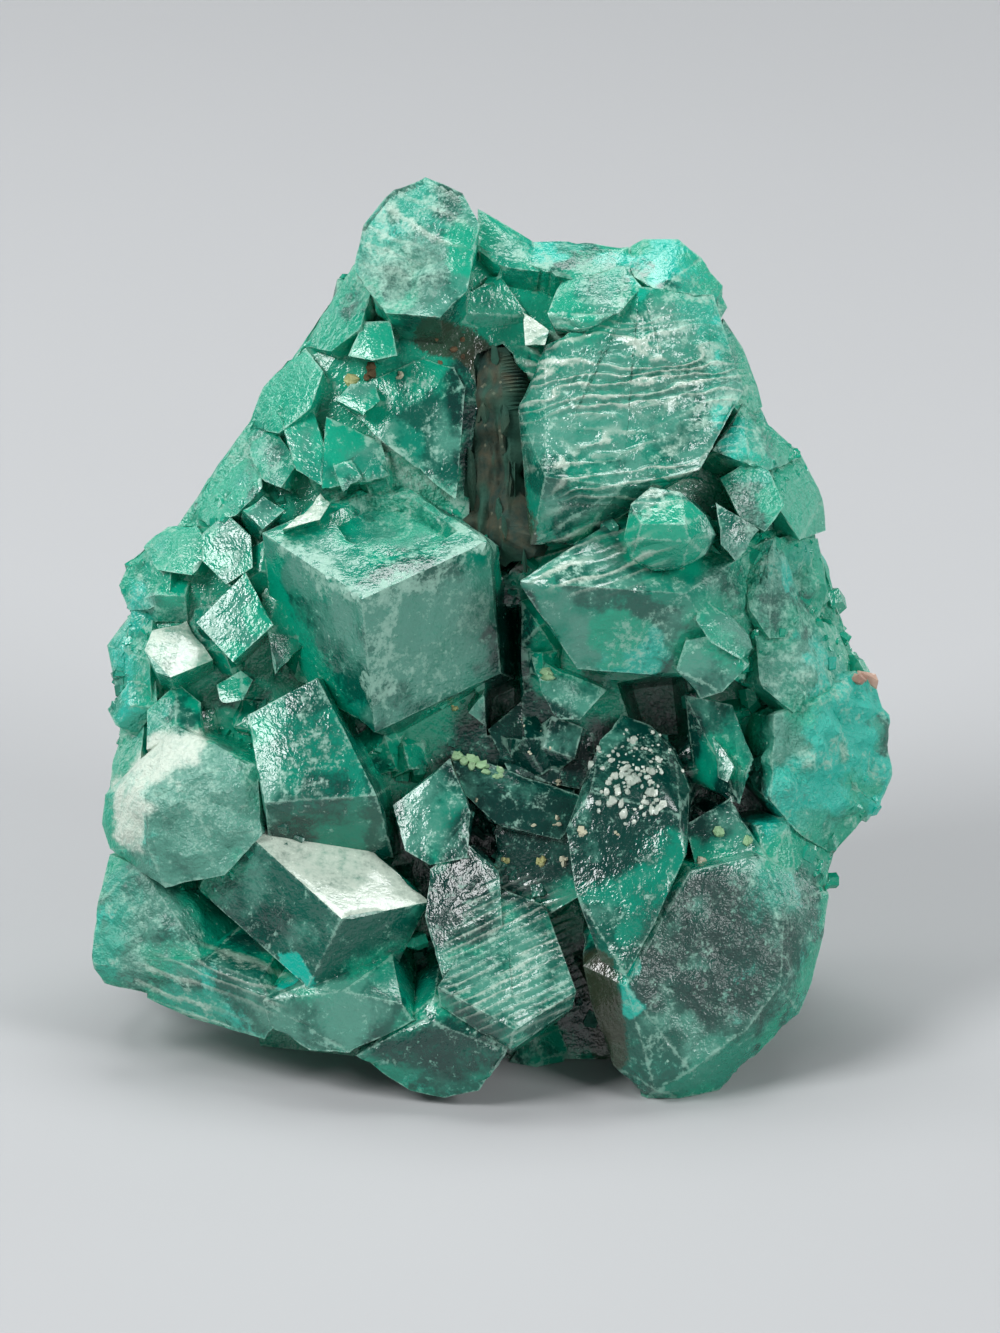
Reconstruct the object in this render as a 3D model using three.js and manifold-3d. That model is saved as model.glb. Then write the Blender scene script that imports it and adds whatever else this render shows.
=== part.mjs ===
// Dioptase specimen: a cluster of dark green, intergrown crystals that stands on its broken base and leans
// back, with a wedge of brown host rock left in the cleft near its top. Millimetres, +Z up, front at -Y.
//
// Dioptase grows short six-sided prisms capped by a rhombohedron whose corners are nearly square, so many
// of the crystals look like tilted blocks. They overlap, so all of them are joined into one solid.
import * as THREE from "three";
import { ConvexGeometry } from "three/addons/geometries/ConvexGeometry.js";
import { mergeVertices } from "three/addons/utils/BufferGeometryUtils.js";
import Module from "manifold-3d";

const wasm = await Module();
wasm.setup();

// Driving dimensions
const LEAN_DEG = 22; // how far the showy face leans back from upright
const FLOOR_DROP = 1.25; // the broken base lies this far below the face's zero height
const FACE_TOP = 37.2; // height of the face, measured along its lean
const FACE_HALF_WIDTH = 18; // no part of the face is farther to either side
const ROOT_TAPER = 0.9; // a crystal's buried end against its showing face
const RIM_SHARE = 0.96; // a crystal that reaches this share of the outline is a rim crystal
const RIM_TAPER = 0.6; // the buried end of a rim crystal, which narrows towards the mass
const RIM_PULL = 0.16; // how far the buried ends of those are drawn to the middle
const RHOMB_TILT_DEG = 51; // a cap face's normal against the crystal's long axis
const GROUND_DEPTH = 6.3; // depth of the fused mass between the crystals, at the middle of the face
const GROUND_FALL = 2.1; // how much deeper it lies at the outline
const GROUND_SHARES = [0, 0.55, 0.85, 0.955]; // shares of the outline where the mass bends
const MASS_RIM = { share: 0.955, depth: 10 }; // where the side of the mass turns to the back
const MASS_BACK = [[0.84, 3], [0.62, 0.6], [0, 0.6]]; // shares, and how far before the back surface
const BACK_TOP = 12; // depth of the back surface at the top of the face
const BACK_BOTTOM = 18.5; // depth of the back surface at the foot of the face
const ROCK_GAP = 0.3; // clearance between the rock wedge and the crystals that hold it
const WELD = 1e-4; // corners closer than this are one

// Finishes
const DIOPTASE = { name: "dioptase", color: 0x1f6b52, roughness: 0.32, metalness: 0 };
const HOST_ROCK = { name: "host_rock", color: 0x5a4632, roughness: 0.9, metalness: 0 };

// Everything below is in the face's own frame: x to the right, h up along the face, w away from the viewer.

// Outline of the whole cluster as seen square on to its face, clockwise from the foot of the left side.
const OUTLINE = [
  [-16.4, 5.2], [-16.1, 8.2], [-15.8, 11.8], [-15.2, 14.6], [-15.9, 18.0], [-15.4, 20.6], [-13.6, 22.9],
  [-12.3, 24.4], [-10.2, 26.6], [-9.4, 28.6], [-7.8, 30.2], [-5.9, 33.4], [-5.4, 35.2], [-3.1, 37.1],
  [-1.4, 36.2], [1.0, 34.5], [5.0, 34.4], [7.2, 34.5], [9.1, 32.2], [10.6, 28.0], [12.2, 25.8],
  [13.1, 23.6], [13.4, 19.6], [15.2, 16.8], [15.7, 14.0], [14.8, 11.2], [13.3, 9.6], [13.1, 6.6],
  [12.0, 3.4], [8.8, 0.4], [6.4, -0.1], [3.8, 1.4], [-0.8, 0.4], [-3.6, 0.4], [-7.6, 1.8], [-12.0, 3.4],
];

// Crystals read by one corner that points at the viewer and the three edges that leave it.
const CORNER_CRYSTALS = {
  centre_block: {
    corner: [-5.5, 20.0, 0.8],
    edges: [[-4.05, 2.7, 3.9], [5.05, 2.35, 2.4], [0.5, -5.3, 2.4]],
    root: [1.0, -0.4, 5],
  },
  white_faced: {
    corner: [-6.3, 7.3, 1.0],
    edges: [[-4.4, 3.9, 2.8], [3.5, 0.65, 1.5], [-1.4, -2.8, 1.3]],
    root: [-0.4, 0.4, 4],
  },
  right_block: {
    corner: [0.7, 20.7, 0.9],
    edges: [[4.2, 2.75, 3.7], [6.7, -0.45, 1.5], [2.4, -3.5, 2.3]],
    root: [0, 0, 3],
  },
};

// Crystals read by the corners of the faces that show. root is the way they run back into the mass.
const FACE_CRYSTALS = {
  peak: {
    face: [
      [-5.9, 33.3, 6.6], [-5.5, 35.1, 7.1], [-4.3, 36.6, 7.5], [-3.0, 37.15, 7.7], [-1.5, 36.4, 7.3],
      [-0.8, 35.1, 6.5], [-1.3, 32.4, 5.2], [-2.4, 31.3, 4.8], [-4.6, 31.5, 5.1],
    ],
    root: [0.3, -1.4, 5],
  },
  ridge_left: {
    face: [
      [-0.9, 35.8, 8.0], [0.0, 35.3, 8.0], [1.3, 34.5, 8.0], [1.6, 33.2, 6.6], [0.0, 33.4, 6.6],
      [-0.9, 34.2, 7.0],
    ],
    root: [0, -1.6, 4.5],
  },
  ridge_right: {
    face: [
      [0.9, 34.45, 8.0], [2.4, 34.5, 8.1], [5.2, 34.3, 8.0], [5.7, 33.0, 7.0], [4.2, 32.6, 6.2],
      [2.0, 33.2, 6.3],
      [0.9, 33.6, 6.9],
    ],
    root: [0, -1.6, 4.5],
  },
  lens: {
    face: [
      [1.9, 31.5, 5.5], [2.4, 32.8, 6.2], [5.0, 33.5, 6.5], [5.7, 32.6, 6.0], [4.8, 31.5, 4.9],
      [3.4, 30.7, 5.1], [2.2, 30.8, 5.5],
    ],
    root: [0, -0.3, 4],
  },
  white_tip: {
    face: [[0.9, 31.6, 5.9], [2.0, 30.8, 5.0], [1.8, 30.2, 4.7], [1.0, 30.2, 4.8]],
    root: [0, 0, 3],
  },
  ridge_slope: {
    face: [[-2.5, 31.6, 6.4], [0.0, 33.1, 7.0], [1.2, 31.4, 7.2], [0.5, 30.4, 7.5], [-2.0, 30.6, 7.2]],
    root: [0, 0, 4],
  },
  peak_shoulder: {
    face: [
      [-7.9, 30.2, 8.0], [-7.0, 31.8, 8.0], [-5.9, 33.4, 7.6], [-5.2, 32.4, 6.2], [-5.6, 30.9, 5.8],
      [-6.8, 30.0, 6.6],
    ],
    root: [0.6, -0.4, 4.5],
  },
  pale_chip: {
    face: [
      [-6.1, 29.8, 5.7], [-5.5, 31.2, 6.1], [-4.4, 31.2, 5.9], [-4.1, 29.8, 5.1], [-5.1, 29.6, 5.2],
    ],
    root: [0, 0, 3],
  },
  green_hollow: {
    face: [
      [-8.0, 29.2, 7.6], [-5.2, 31.2, 7.6], [-2.6, 30.8, 7.4], [-3.4, 28.8, 7.4], [-6.6, 27.6, 7.2],
    ],
    root: [0, 0, 4],
  },
  shoulder_rim: {
    face: [
      [-10.2, 27.0, 8.2], [-9.6, 28.6, 8.2], [-8.6, 29.7, 8.0], [-7.8, 30.2, 7.6], [-7.1, 29.2, 6.6],
      [-7.6, 27.7, 6.3], [-8.9, 26.7, 6.7],
    ],
    root: [0.6, -0.3, 4.5],
  },
  small_plate: {
    face: [
      [-6.6, 28.0, 5.9], [-6.0, 28.7, 6.1], [-5.0, 28.7, 5.9], [-4.8, 28.0, 5.5], [-5.5, 27.4, 5.3],
    ],
    root: [0, -0.2, 3],
  },
  grey_plate: {
    face: [
      [-6.7, 28.1, 6.9], [-4.2, 29.3, 6.7], [-3.1, 29.75, 6.7], [-1.85, 29.35, 6.4], [-1.4, 28.5, 6.2],
      [-1.75, 24.0, 5.3], [-4.75, 26.4, 5.9],
    ],
    root: [0.2, 0.2, 5],
  },
  dark_facet: {
    face: [
      [-7.2, 24.4, 5.1], [-7.0, 27.4, 6.4], [-4.8, 26.4, 6.2], [-4.4, 25.0, 5.6], [-5.6, 24.6, 5.2],
    ],
    root: [0.2, 0, 4],
  },
  grey_facet: {
    face: [[-6.7, 25.4, 5.2], [-5.9, 25.7, 5.4], [-5.5, 24.9, 4.9], [-6.3, 24.3, 4.6]],
    root: [0, 0, 3],
  },
  left_blade: {
    face: [
      [-8.9, 27.5, 7.0], [-7.5, 27.7, 6.9], [-6.9, 25.7, 5.7], [-7.2, 24.6, 5.2], [-8.2, 25.2, 5.7],
    ],
    root: [0.4, 0, 4],
  },
  left_sliver: {
    face: [
      [-10.2, 26.3, 7.6], [-9.2, 27.1, 7.6], [-8.1, 25.5, 6.2], [-8.8, 24.5, 5.7], [-9.7, 24.9, 6.4],
    ],
    root: [0.5, 0, 4],
  },
  flash: {
    face: [[-8.7, 22.8, 3.9], [-7.2, 24.3, 5.4], [-6.7, 24.0, 5.2], [-7.2, 23.2, 4.1]],
    root: [0, -0.8, 3],
  },
  left_rim_high: {
    face: [
      [-12.6, 23.5, 8.4], [-11.8, 24.9, 8.4], [-10.6, 25.9, 8.2], [-9.7, 25.6, 7.1], [-9.6, 24.4, 6.1],
      [-10.6, 23.4, 6.2], [-11.8, 23.0, 7.0],
    ],
    root: [0.7, -0.2, 4.5],
  },
  small_cube: {
    face: [[-10.35, 23.6, 5.2], [-9.5, 24.2, 5.4], [-8.6, 23.6, 4.9], [-9.5, 22.8, 4.7]],
    root: [-0.3, -0.7, 3],
  },
  left_step: {
    face: [
      [-12.0, 22.7, 6.6], [-11.0, 23.5, 6.5], [-10.0, 22.6, 5.6], [-9.9, 21.3, 5.2], [-11.0, 20.6, 5.6],
      [-12.0, 21.6, 6.3],
    ],
    root: [0.3, 0, 4],
  },
  left_rim_teal: {
    face: [
      [-14.5, 22.2, 8.2], [-13.4, 23.0, 8.2], [-12.2, 23.1, 7.5], [-11.7, 22.0, 6.6], [-12.4, 21.0, 6.3],
      [-13.8, 21.2, 7.0],
    ],
    root: [0.8, -0.3, 4.5],
  },
  left_rim_bulge: {
    face: [
      [-15.4, 20.6, 8.6], [-15.0, 21.6, 8.6], [-14.2, 22.3, 8.4], [-13.2, 21.4, 7.1], [-13.3, 20.1, 6.7],
      [-14.2, 19.6, 7.2], [-15.0, 19.6, 8.2],
    ],
    root: [1.0, 0, 4.5],
  },
  left_block: {
    face: [[-12.2, 19.1, 5.0], [-10.2, 21.15, 5.1], [-9.05, 19.0, 4.3], [-10.7, 17.5, 4.2]],
    root: [0.3, -0.5, 4],
  },
  left_block_side: {
    face: [
      [-9.6, 20.2, 5.9], [-8.6, 21.6, 6.3], [-7.6, 18.4, 5.4], [-9.0, 17.0, 4.9], [-9.3, 18.7, 4.9],
    ],
    root: [0, 0, 4],
  },
  white_rhomb: {
    face: [
      [-14.3, 18.0, 6.1], [-14.0, 18.8, 6.8], [-12.6, 19.2, 7.1], [-11.5, 17.6, 5.6], [-13.2, 16.9, 4.9],
      [-13.8, 17.1, 5.2],
    ],
    root: [0.2, -1.2, 3.5],
  },
  left_rim_mint: {
    face: [
      [-15.9, 18.2, 9.0], [-15.4, 18.9, 9.0], [-14.8, 19.6, 8.7], [-14.0, 19.2, 7.4], [-14.1, 17.6, 6.6],
      [-14.0, 16.0, 6.6], [-14.8, 15.3, 7.8], [-15.5, 16.2, 8.7],
    ],
    root: [1.0, 0, 4],
  },
  gap_crystal: {
    face: [
      [-11.4, 16.6, 6.1], [-10.4, 17.2, 6.2], [-9.9, 16.8, 6.0], [-10.3, 16.0, 5.5], [-11.2, 15.8, 5.7],
    ],
    root: [0, 0, 3],
  },
  pale_ledge: {
    face: [
      [-14.2, 15.6, 6.4], [-13.0, 16.7, 6.8], [-12.0, 15.9, 6.2], [-11.8, 14.5, 5.2], [-13.0, 14.7, 5.2],
      [-14.2, 14.0, 5.6],
    ],
    root: [0.2, -0.6, 4],
  },
  left_round: {
    face: [
      [-14.0, 12.0, 3.5], [-11.8, 13.1, 3.3], [-9.7, 13.4, 3.3], [-9.5, 10.6, 3.0], [-11.0, 9.0, 3.3],
      [-13.4, 8.5, 4.1], [-14.1, 10.0, 3.8], [-15.9, 12.2, 6.3], [-16.0, 11.0, 6.6], [-15.7, 10.0, 6.4],
      [-15.2, 12.5, 5.2], [-13.0, 15.0, 5.3], [-11.4, 14.0, 4.3],
    ],
    root: [1.0, 0.2, 5],
  },
  left_rim_low: {
    face: [
      [-16.0, 11.4, 7.8], [-15.6, 13.6, 8.2], [-15.2, 14.7, 8.3], [-14.3, 15.2, 7.2],
      [-14.5, 13.0, 6.2],
    ],
    root: [1.2, 0, 4],
  },
  foot_left: {
    face: [
      [-16.45, 5.4, 5.8], [-16.2, 7.7, 6.0], [-15.7, 9.8, 6.6], [-14.6, 9.4, 5.4], [-13.0, 7.4, 4.5],
      [-11.4, 4.8, 4.1], [-10.6, 4.0, 4.5], [-13.8, 4.1, 5.6], [-15.9, 4.6, 6.2],
    ],
    root: [2.0, 1.2, 5],
  },
  foot_left_step: {
    face: [
      [-14.2, 5.6, 4.9], [-11.8, 5.6, 3.7], [-9.6, 4.8, 3.0], [-8.6, 3.4, 2.9], [-9.4, 2.4, 3.6],
      [-12.4, 3.2, 5.2], [-14.2, 4.0, 5.8],
    ],
    root: [1.2, 1.4, 6],
  },
  broad_block: {
    face: [
      [-10.1, 15.4, 3.5], [-7.3, 16.9, 3.5], [-4.9, 12.2, 1.8], [-9.4, 11.9, 2.1], [-4.2, 9.6, 4.2],
      [-9.2, 9.8, 4.4],
    ],
    root: [0.8, 0.3, 5],
  },
  foot_wedge: {
    face: [
      [-9.5, 4.0, 2.6], [-8.0, 4.6, 2.5], [-6.3, 4.4, 1.9], [-4.3, 5.8, 3.2], [-3.9, 3.9, 1.6],
      [-3.4, 3.2, 1.8], [-6.0, 1.9, 2.4], [-7.6, 2.0, 3.0], [-9.2, 2.9, 3.1],
    ],
    root: [0.3, 1.4, 6],
  },
  foot_striated: {
    face: [
      [-2.5, 4.6, 1.5], [0.2, 8.4, 3.9], [1.8, 7.8, 3.8], [3.05, 4.4, 1.9], [0.6, 2.9, 0.6],
      [0.4, 2.0, 1.1], [2.9, 3.7, 2.3], [-2.4, 3.8, 1.8],
    ],
    root: [0, -0.6, 6],
  },
  foot_centre: {
    face: [
      [-5.8, 1.8, 2.6], [-3.0, 3.3, 1.7], [-2.6, 4.2, 2.0], [0.3, 2.0, 1.3], [-0.2, 1.2, 1.7],
      [-0.8, 0.4, 2.3], [-2.2, 0.1, 2.7], [-3.6, 0.4, 2.9],
    ],
    root: [0, 1.6, 6.5],
  },
  lower_grey: {
    face: [
      [-4.3, 11.8, 3.1], [-2.7, 13.0, 3.0], [-2.0, 13.7, 3.4], [-1.1, 11.5, 2.7], [-1.3, 9.7, 2.4],
      [-2.8, 9.4, 2.1], [-3.8, 10.0, 2.4],
    ],
    root: [0.2, 0, 5],
  },
  lower_dark: {
    face: [
      [-2.8, 9.3, 2.4], [-1.2, 10.2, 3.1], [0.0, 9.2, 3.4], [0.1, 7.0, 3.0], [-2.2, 4.6, 1.9],
      [-3.0, 7.4, 2.0],
    ],
    root: [0.3, 0.2, 5],
  },
  cavity_facet: {
    face: [
      [1.2, 17.8, 6.0], [2.4, 17.2, 5.4], [4.3, 16.4, 5.2], [3.2, 15.2, 4.5], [2.2, 15.2, 4.5],
      [1.6, 16.4, 5.0],
    ],
    root: [0, 0.6, 4],
  },
  cavity_dark: {
    face: [
      [-0.5, 14.8, 6.3], [0.8, 15.9, 6.8], [3.6, 15.2, 6.5], [3.9, 13.6, 6.2], [3.2, 12.4, 5.8],
      [0.4, 13.0, 5.6],
    ],
    root: [0, 0.3, 4],
  },
  cavity_ledge: {
    face: [
      [-2.0, 14.0, 5.4], [0.2, 12.9, 5.0], [2.4, 12.4, 4.9], [3.7, 12.0, 4.8], [2.4, 10.4, 3.9],
      [0.0, 10.9, 3.9], [-1.6, 12.4, 4.4],
    ],
    root: [0, -0.6, 4],
  },
  cavity_floor: {
    face: [[-0.2, 11.0, 4.6], [3.0, 10.6, 4.2], [3.6, 8.4, 3.8], [2.0, 7.4, 4.2], [-0.2, 8.6, 4.4]],
    root: [0, 0, 4],
  },
  top_right_lump: {
    face: [
      [4.9, 34.1, 8.2], [5.8, 34.6, 8.4], [7.2, 34.6, 8.4], [8.2, 33.9, 8.2], [9.0, 32.7, 8.0],
      [9.2, 31.8, 7.8], [8.6, 30.8, 6.6], [6.4, 32.4, 6.2], [5.4, 33.0, 6.6],
    ],
    root: [-0.3, -1.4, 4.5],
  },
  great_right: {
    face: [
      [0.7, 27.7, 5.3], [1.8, 30.2, 5.3], [5.6, 32.6, 5.9], [8.6, 32.3, 6.6], [9.8, 28.4, 5.6],
      [8.5, 26.0, 4.2], [8.0, 25.2, 3.6], [4.9, 24.5, 2.8], [1.8, 24.9, 3.2], [1.2, 22.2, 4.6],
      [3.0, 22.2, 4.6], [5.6, 23.8, 4.1],
    ],
    root: [-0.2, 0.2, 6],
  },
  right_shoulder: {
    face: [
      [9.0, 31.4, 7.6], [9.8, 30.2, 7.8], [10.4, 28.6, 7.8], [10.6, 27.8, 7.6], [9.8, 27.2, 6.0],
      [8.8, 28.4, 5.9], [8.8, 30.4, 6.5],
    ],
    root: [-0.7, -0.2, 4.5],
  },
  right_chip: {
    face: [
      [9.8, 28.0, 6.2], [10.8, 27.0, 6.6], [11.6, 26.4, 7.2], [12.2, 25.8, 7.6], [11.0, 25.2, 5.3],
      [10.0, 25.4, 4.7], [8.5, 26.0, 4.9],
    ],
    root: [-0.5, -0.2, 4.5],
  },
  right_green: {
    face: [
      [8.8, 24.9, 5.3], [10.0, 25.6, 5.2], [10.8, 25.2, 4.8], [11.4, 23.8, 4.2], [10.6, 22.7, 4.1],
      [9.6, 23.3, 4.5],
    ],
    root: [-0.2, 0, 4],
  },
  right_rim_green: {
    face: [
      [10.8, 25.4, 5.6], [12.2, 25.8, 7.7], [13.1, 24.1, 8.0], [13.15, 22.8, 7.8], [12.0, 22.4, 5.0],
      [11.2, 23.6, 4.5],
    ],
    root: [-0.8, 0, 4.5],
  },
  green_dome: {
    face: [
      [5.2, 23.8, 1.7], [6.0, 24.5, 2.1], [7.2, 24.3, 1.9], [8.2, 23.4, 1.8], [8.6, 22.6, 2.2],
      [7.4, 23.0, 0.8], [5.6, 23.0, 0.9], [4.9, 22.4, 1.7], [5.2, 21.6, 2.0], [6.0, 21.1, 2.2],
      [7.2, 21.2, 2.1], [8.2, 21.8, 2.3], [5.4, 22.4, 1.0], [7.6, 22.3, 0.9],
    ],
    root: [0.4, 0, 4],
  },
  dome_neighbour: {
    face: [[8.6, 23.9, 3.0], [9.6, 23.3, 3.1], [10.4, 22.8, 3.4], [9.4, 21.5, 2.7], [8.8, 22.2, 2.5]],
    root: [0, 0, 4],
  },
  pale_pair_high: {
    face: [
      [8.0, 20.1, 3.3], [9.4, 19.3, 3.2], [10.2, 18.0, 3.2], [9.6, 17.6, 2.7], [8.4, 18.3, 2.5],
      [7.8, 19.2, 2.7],
    ],
    root: [0.2, 0, 4.5],
  },
  pale_pair_low: {
    face: [
      [7.0, 17.2, 3.1], [7.4, 18.4, 3.0], [8.6, 18.6, 2.9], [10.0, 17.4, 3.1], [8.9, 16.3, 3.0],
      [8.0, 16.0, 3.3],
    ],
    root: [0.2, 0.3, 4.5],
  },
  cavity_wall: {
    face: [[7.4, 16.2, 5.6], [9.3, 15.8, 4.3], [10.2, 13.6, 3.9], [9.6, 11.8, 4.2], [7.8, 12.6, 6.2]],
    root: [0, 0, 4],
  },
  white_sliver: {
    face: [[8.5, 14.5, 4.4], [9.0, 14.0, 4.0], [9.4, 13.3, 3.6], [9.1, 12.7, 3.6], [8.7, 12.9, 3.9]],
    root: [0.3, 0, 2.5],
  },
  right_mid: {
    face: [
      [9.8, 22.0, 5.0], [11.0, 22.6, 4.7], [12.8, 22.5, 7.2], [13.1, 21.0, 7.8], [13.35, 20.0, 7.8],
      [12.4, 18.6, 5.6], [10.8, 18.4, 4.3], [10.0, 19.6, 4.3],
    ],
    root: [-0.8, 0, 4.5],
  },
  right_low: {
    face: [
      [10.2, 18.8, 4.6], [12.0, 19.4, 5.2], [13.5, 19.0, 7.6], [14.3, 17.3, 8.2], [13.6, 15.8, 6.0],
      [11.8, 15.4, 4.3], [10.4, 16.6, 4.1],
    ],
    root: [-0.8, 0, 4.5],
  },
  right_bulge: {
    face: [
      [11.0, 15.4, 4.3], [12.8, 16.0, 4.9], [14.3, 17.2, 7.1], [15.2, 16.8, 7.9], [15.7, 15.4, 8.0],
      [15.75, 13.0, 7.8], [15.4, 12.0, 7.6], [13.8, 10.4, 6.6], [13.4, 9.8, 6.4], [12.0, 10.6, 4.7],
      [10.8, 12.0, 4.0],
    ],
    root: [-1.2, 0.2, 4.5],
  },
  right_fillet: {
    face: [
      [10.2, 11.0, 4.5], [11.6, 11.2, 4.7], [13.3, 10.0, 6.4], [13.3, 8.4, 6.2], [12.0, 7.6, 4.5],
      [10.8, 9.0, 4.0],
    ],
    root: [-0.8, 0, 4.5],
  },
  glitter_point: {
    face: [
      [2.6, 10.8, 2.5], [3.6, 12.4, 2.8], [7.2, 11.4, 2.1], [7.4, 9.8, 1.8], [6.0, 6.8, 1.2],
      [5.0, 5.0, 1.1],
      [4.0, 5.6, 1.6], [3.0, 8.4, 2.0], [4.0, 14.4, 4.6], [4.9, 15.4, 5.6], [6.0, 15.0, 5.6],
      [7.0, 14.1, 5.2],
      [7.6, 12.4, 3.9],
    ],
    root: [0.4, 0, 5],
  },
  dark_plane: {
    face: [[7.4, 11.0, 3.8], [9.2, 12.1, 4.6], [10.7, 9.7, 4.1], [11.0, 9.3, 4.1], [8.0, 8.6, 2.9]],
    root: [0, 0, 4],
  },
  foot_right: {
    face: [
      [5.6, 6.0, 1.6], [7.6, 9.2, 2.3], [10.4, 9.8, 3.3], [11.4, 7.8, 3.2], [11.2, 4.6, 3.0],
      [9.8, 2.8, 2.8],
      [7.6, 1.2, 2.4], [6.2, 0.4, 2.6], [5.0, 4.6, 1.3], [3.3, 5.4, 2.6], [3.7, 3.6, 2.8],
      [4.5, 1.4, 3.3],
      [5.8, 0.0, 3.8], [13.25, 8.4, 6.0], [13.0, 6.6, 5.6], [12.5, 4.6, 5.6], [12.0, 3.4, 5.4],
      [10.0, 1.8, 4.8], [8.8, 0.4, 4.3], [7.6, -0.1, 4.0],
    ],
    root: [-0.6, 1.6, 6.5],
  },
};

// The brown host rock that shows in the cleft between the grey plate and the great crystal at the right.
const ROCK_WEDGE = [
  [-1.3, 29.9, 7.4], [0.1, 29.9, 7.1], [0.5, 27.4, 6.3], [0.9, 22.6, 5.6], [0.2, 21.4, 5.9],
  [-0.9, 22.2, 6.5],
  [-1.2, 25.5, 7.2], [-0.9, 29.0, 10.4], [0.6, 28.4, 10.2], [0.7, 22.8, 9.4], [-0.7, 22.8, 9.6],
];

// Parts of the outline that the lobes of the fused mass fill: the peak, the right shoulder and the foot.
const MASS_LOBES = [
  { left: -18, right: 2, low: 16, high: 38 },
  { left: -1, right: 18, low: 16, high: 36 },
  { left: -18, right: 18, low: -1, high: 22 },
];

// The broad foot that the crystals grow from: the corners of its upper side and of the break it stands on.
const FOOT = [
  [-11.0, 10.0, 7.6], [-4.0, 11.0, 7.2], [5.0, 10.5, 7.2], [10.6, 9.5, 7.8], [11.2, 9.0, 12.0],
  [8.5, 10.5, 16.4], [1.0, 12.0, 17.4], [-6.5, 10.5, 16.8], [-11.2, 9.5, 13.0],
  [-9.6, 1.6, 8.4], [-5.5, 1.0, 7.4], [2.2, 1.4, 7.8], [8.4, 0.9, 7.0], [10.2, 2.2, 10.2], [9.2, 4.0, 14.6],
  [5.2, 5.0, 18.0], [-1.5, 5.4, 18.7], [-7.2, 4.9, 17.4], [-10.0, 3.2, 13.0],
];

// Hollows between the crystals, cut into the mass: the corners of the mouth and of the bottom.
const HOLLOWS = {
  under_right_block: [
    [4.4, 16.8, 4.4], [7.6, 17.4, 4.4], [8.2, 14.4, 4.4], [6.8, 13.2, 4.8], [5.0, 15.2, 4.8],
    [5.4, 16.4, 10.8], [7.0, 16.6, 10.8], [7.2, 14.6, 10.8], [6.0, 14.4, 10.8],
  ],
  beside_centre_block: [
    [-0.7, 20.0, 5.0], [0.9, 20.0, 5.0], [1.0, 14.4, 5.0], [-0.6, 14.4, 5.0],
    [-0.3, 19.4, 10.0], [0.5, 19.4, 10.0], [0.6, 15.0, 10.0], [-0.3, 15.0, 10.0],
  ],
};

// The pitted hollow in the top of the centre block, as shares of that face's two edges, and its depth.
const TOP_PIT = {
  ring: [[0.91, 0.44], [0.6, 0.33], [0.28, 0.36], [0.15, 0.68], [0.2, 0.95], [0.72, 0.96], [0.93, 0.74]],
  depth: 0.55,
  clear: 0.3,
  taper: 0.82,
};

// Small crystals that no single outline describes are strewn by loops. seed sets each loop's own pattern.
const STREWN = { length: 2.4, jitter: 0.5, rowSeeds: 17 };
const FRONT_DRUSE = {
  seed: 100, pitch: 2.7, limit: 0.9, proud: 0.7, radius: [0.7, 1.2], spread: 0.8, outward: [0, 0.3, -1],
};
const DRUSE_FREE = { left: -4.5, right: 11, low: 20.5, high: 36 }; // broad faces and the cleft
const SIDE_CRYSTALS = {
  seed: 300, rowSeeds: 100, pitch: 3.6, rows: [[9.8, 0.965], [12.6, 0.9]], unevenness: 1.6, backward: 2,
  radius: [1.2, 2.0], spread: 0.35, lowest: 6,
};
const BACK_CRYSTALS = {
  seed: 600, pitch: 4.3, limit: 0.82, proud: 1.6, fall: 2.4, unevenness: 1, outward: 0.06,
  radius: [1.7, 2.9], spread: 0.38,
};

// Face frame to row frame
const lean = THREE.MathUtils.degToRad(LEAN_DEG);
const rowFrame = new THREE.Matrix4().makeBasis(
  new THREE.Vector3(1, 0, 0),
  new THREE.Vector3(0, Math.sin(lean), Math.cos(lean)),
  new THREE.Vector3(0, Math.cos(lean), -Math.sin(lean)),
);
const vec = ([x, h, w]) => new THREE.Vector3(x, h, w);
const mean = (points) => points.reduce((sum, p) => sum.add(p), points[0].clone().multiplyScalar(0))
  .divideScalar(points.length);

// A repeatable number from 0 to 1 for item i and its property k.
const CHANCE = { item: 12.9898, property: 78.233, spread: 43758.5453 };

function chance(i, k) {
  const s = Math.sin(i * CHANCE.item + k * CHANCE.property) * CHANCE.spread;
  return s - Math.floor(s);
}

const swing = (i, k) => chance(i, k) - 0.5;

// The outline as points, its middle, and how far out a place is: 0 in the middle, 1 on the outline.
const outline2 = OUTLINE.map(([x, h]) => new THREE.Vector2(x, h));
const middle2 = mean(outline2);

function reach(place) {
  const away = place.clone().sub(middle2);
  let most = 0;
  outline2.forEach((p, k) => {
    const q = outline2[(k + 1) % outline2.length];
    const u = p.clone().sub(middle2);
    const v = q.clone().sub(middle2);
    const area = u.cross(v);
    const s = away.cross(v) / area;
    const t = u.cross(away) / area;
    if (s >= 0 && t >= 0) most = s + t;
  });
  return most;
}

// Depth of the mass's front at a share of the outline, and of the back surface at a height.
const groundDepth = (share) => GROUND_DEPTH + GROUND_FALL * share ** 4;

function backDepth(h) {
  return THREE.MathUtils.lerp(BACK_BOTTOM, BACK_TOP, THREE.MathUtils.clamp(h / FACE_TOP, 0, 1));
}

// Solids
function solidFrom(geometry) {
  const bare = geometry.clone();
  bare.deleteAttribute("normal");
  bare.deleteAttribute("uv");
  const merged = mergeVertices(bare, WELD);
  return new wasm.Manifold(
    new wasm.Mesh({
      numProp: 3,
      vertProperties: merged.attributes.position.array,
      triVerts: new Uint32Array(merged.index.array),
    }),
  );
}

function hull(points) {
  return solidFrom(new ConvexGeometry(points.map((p) => p.clone().applyMatrix4(rowFrame))));
}

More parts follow.
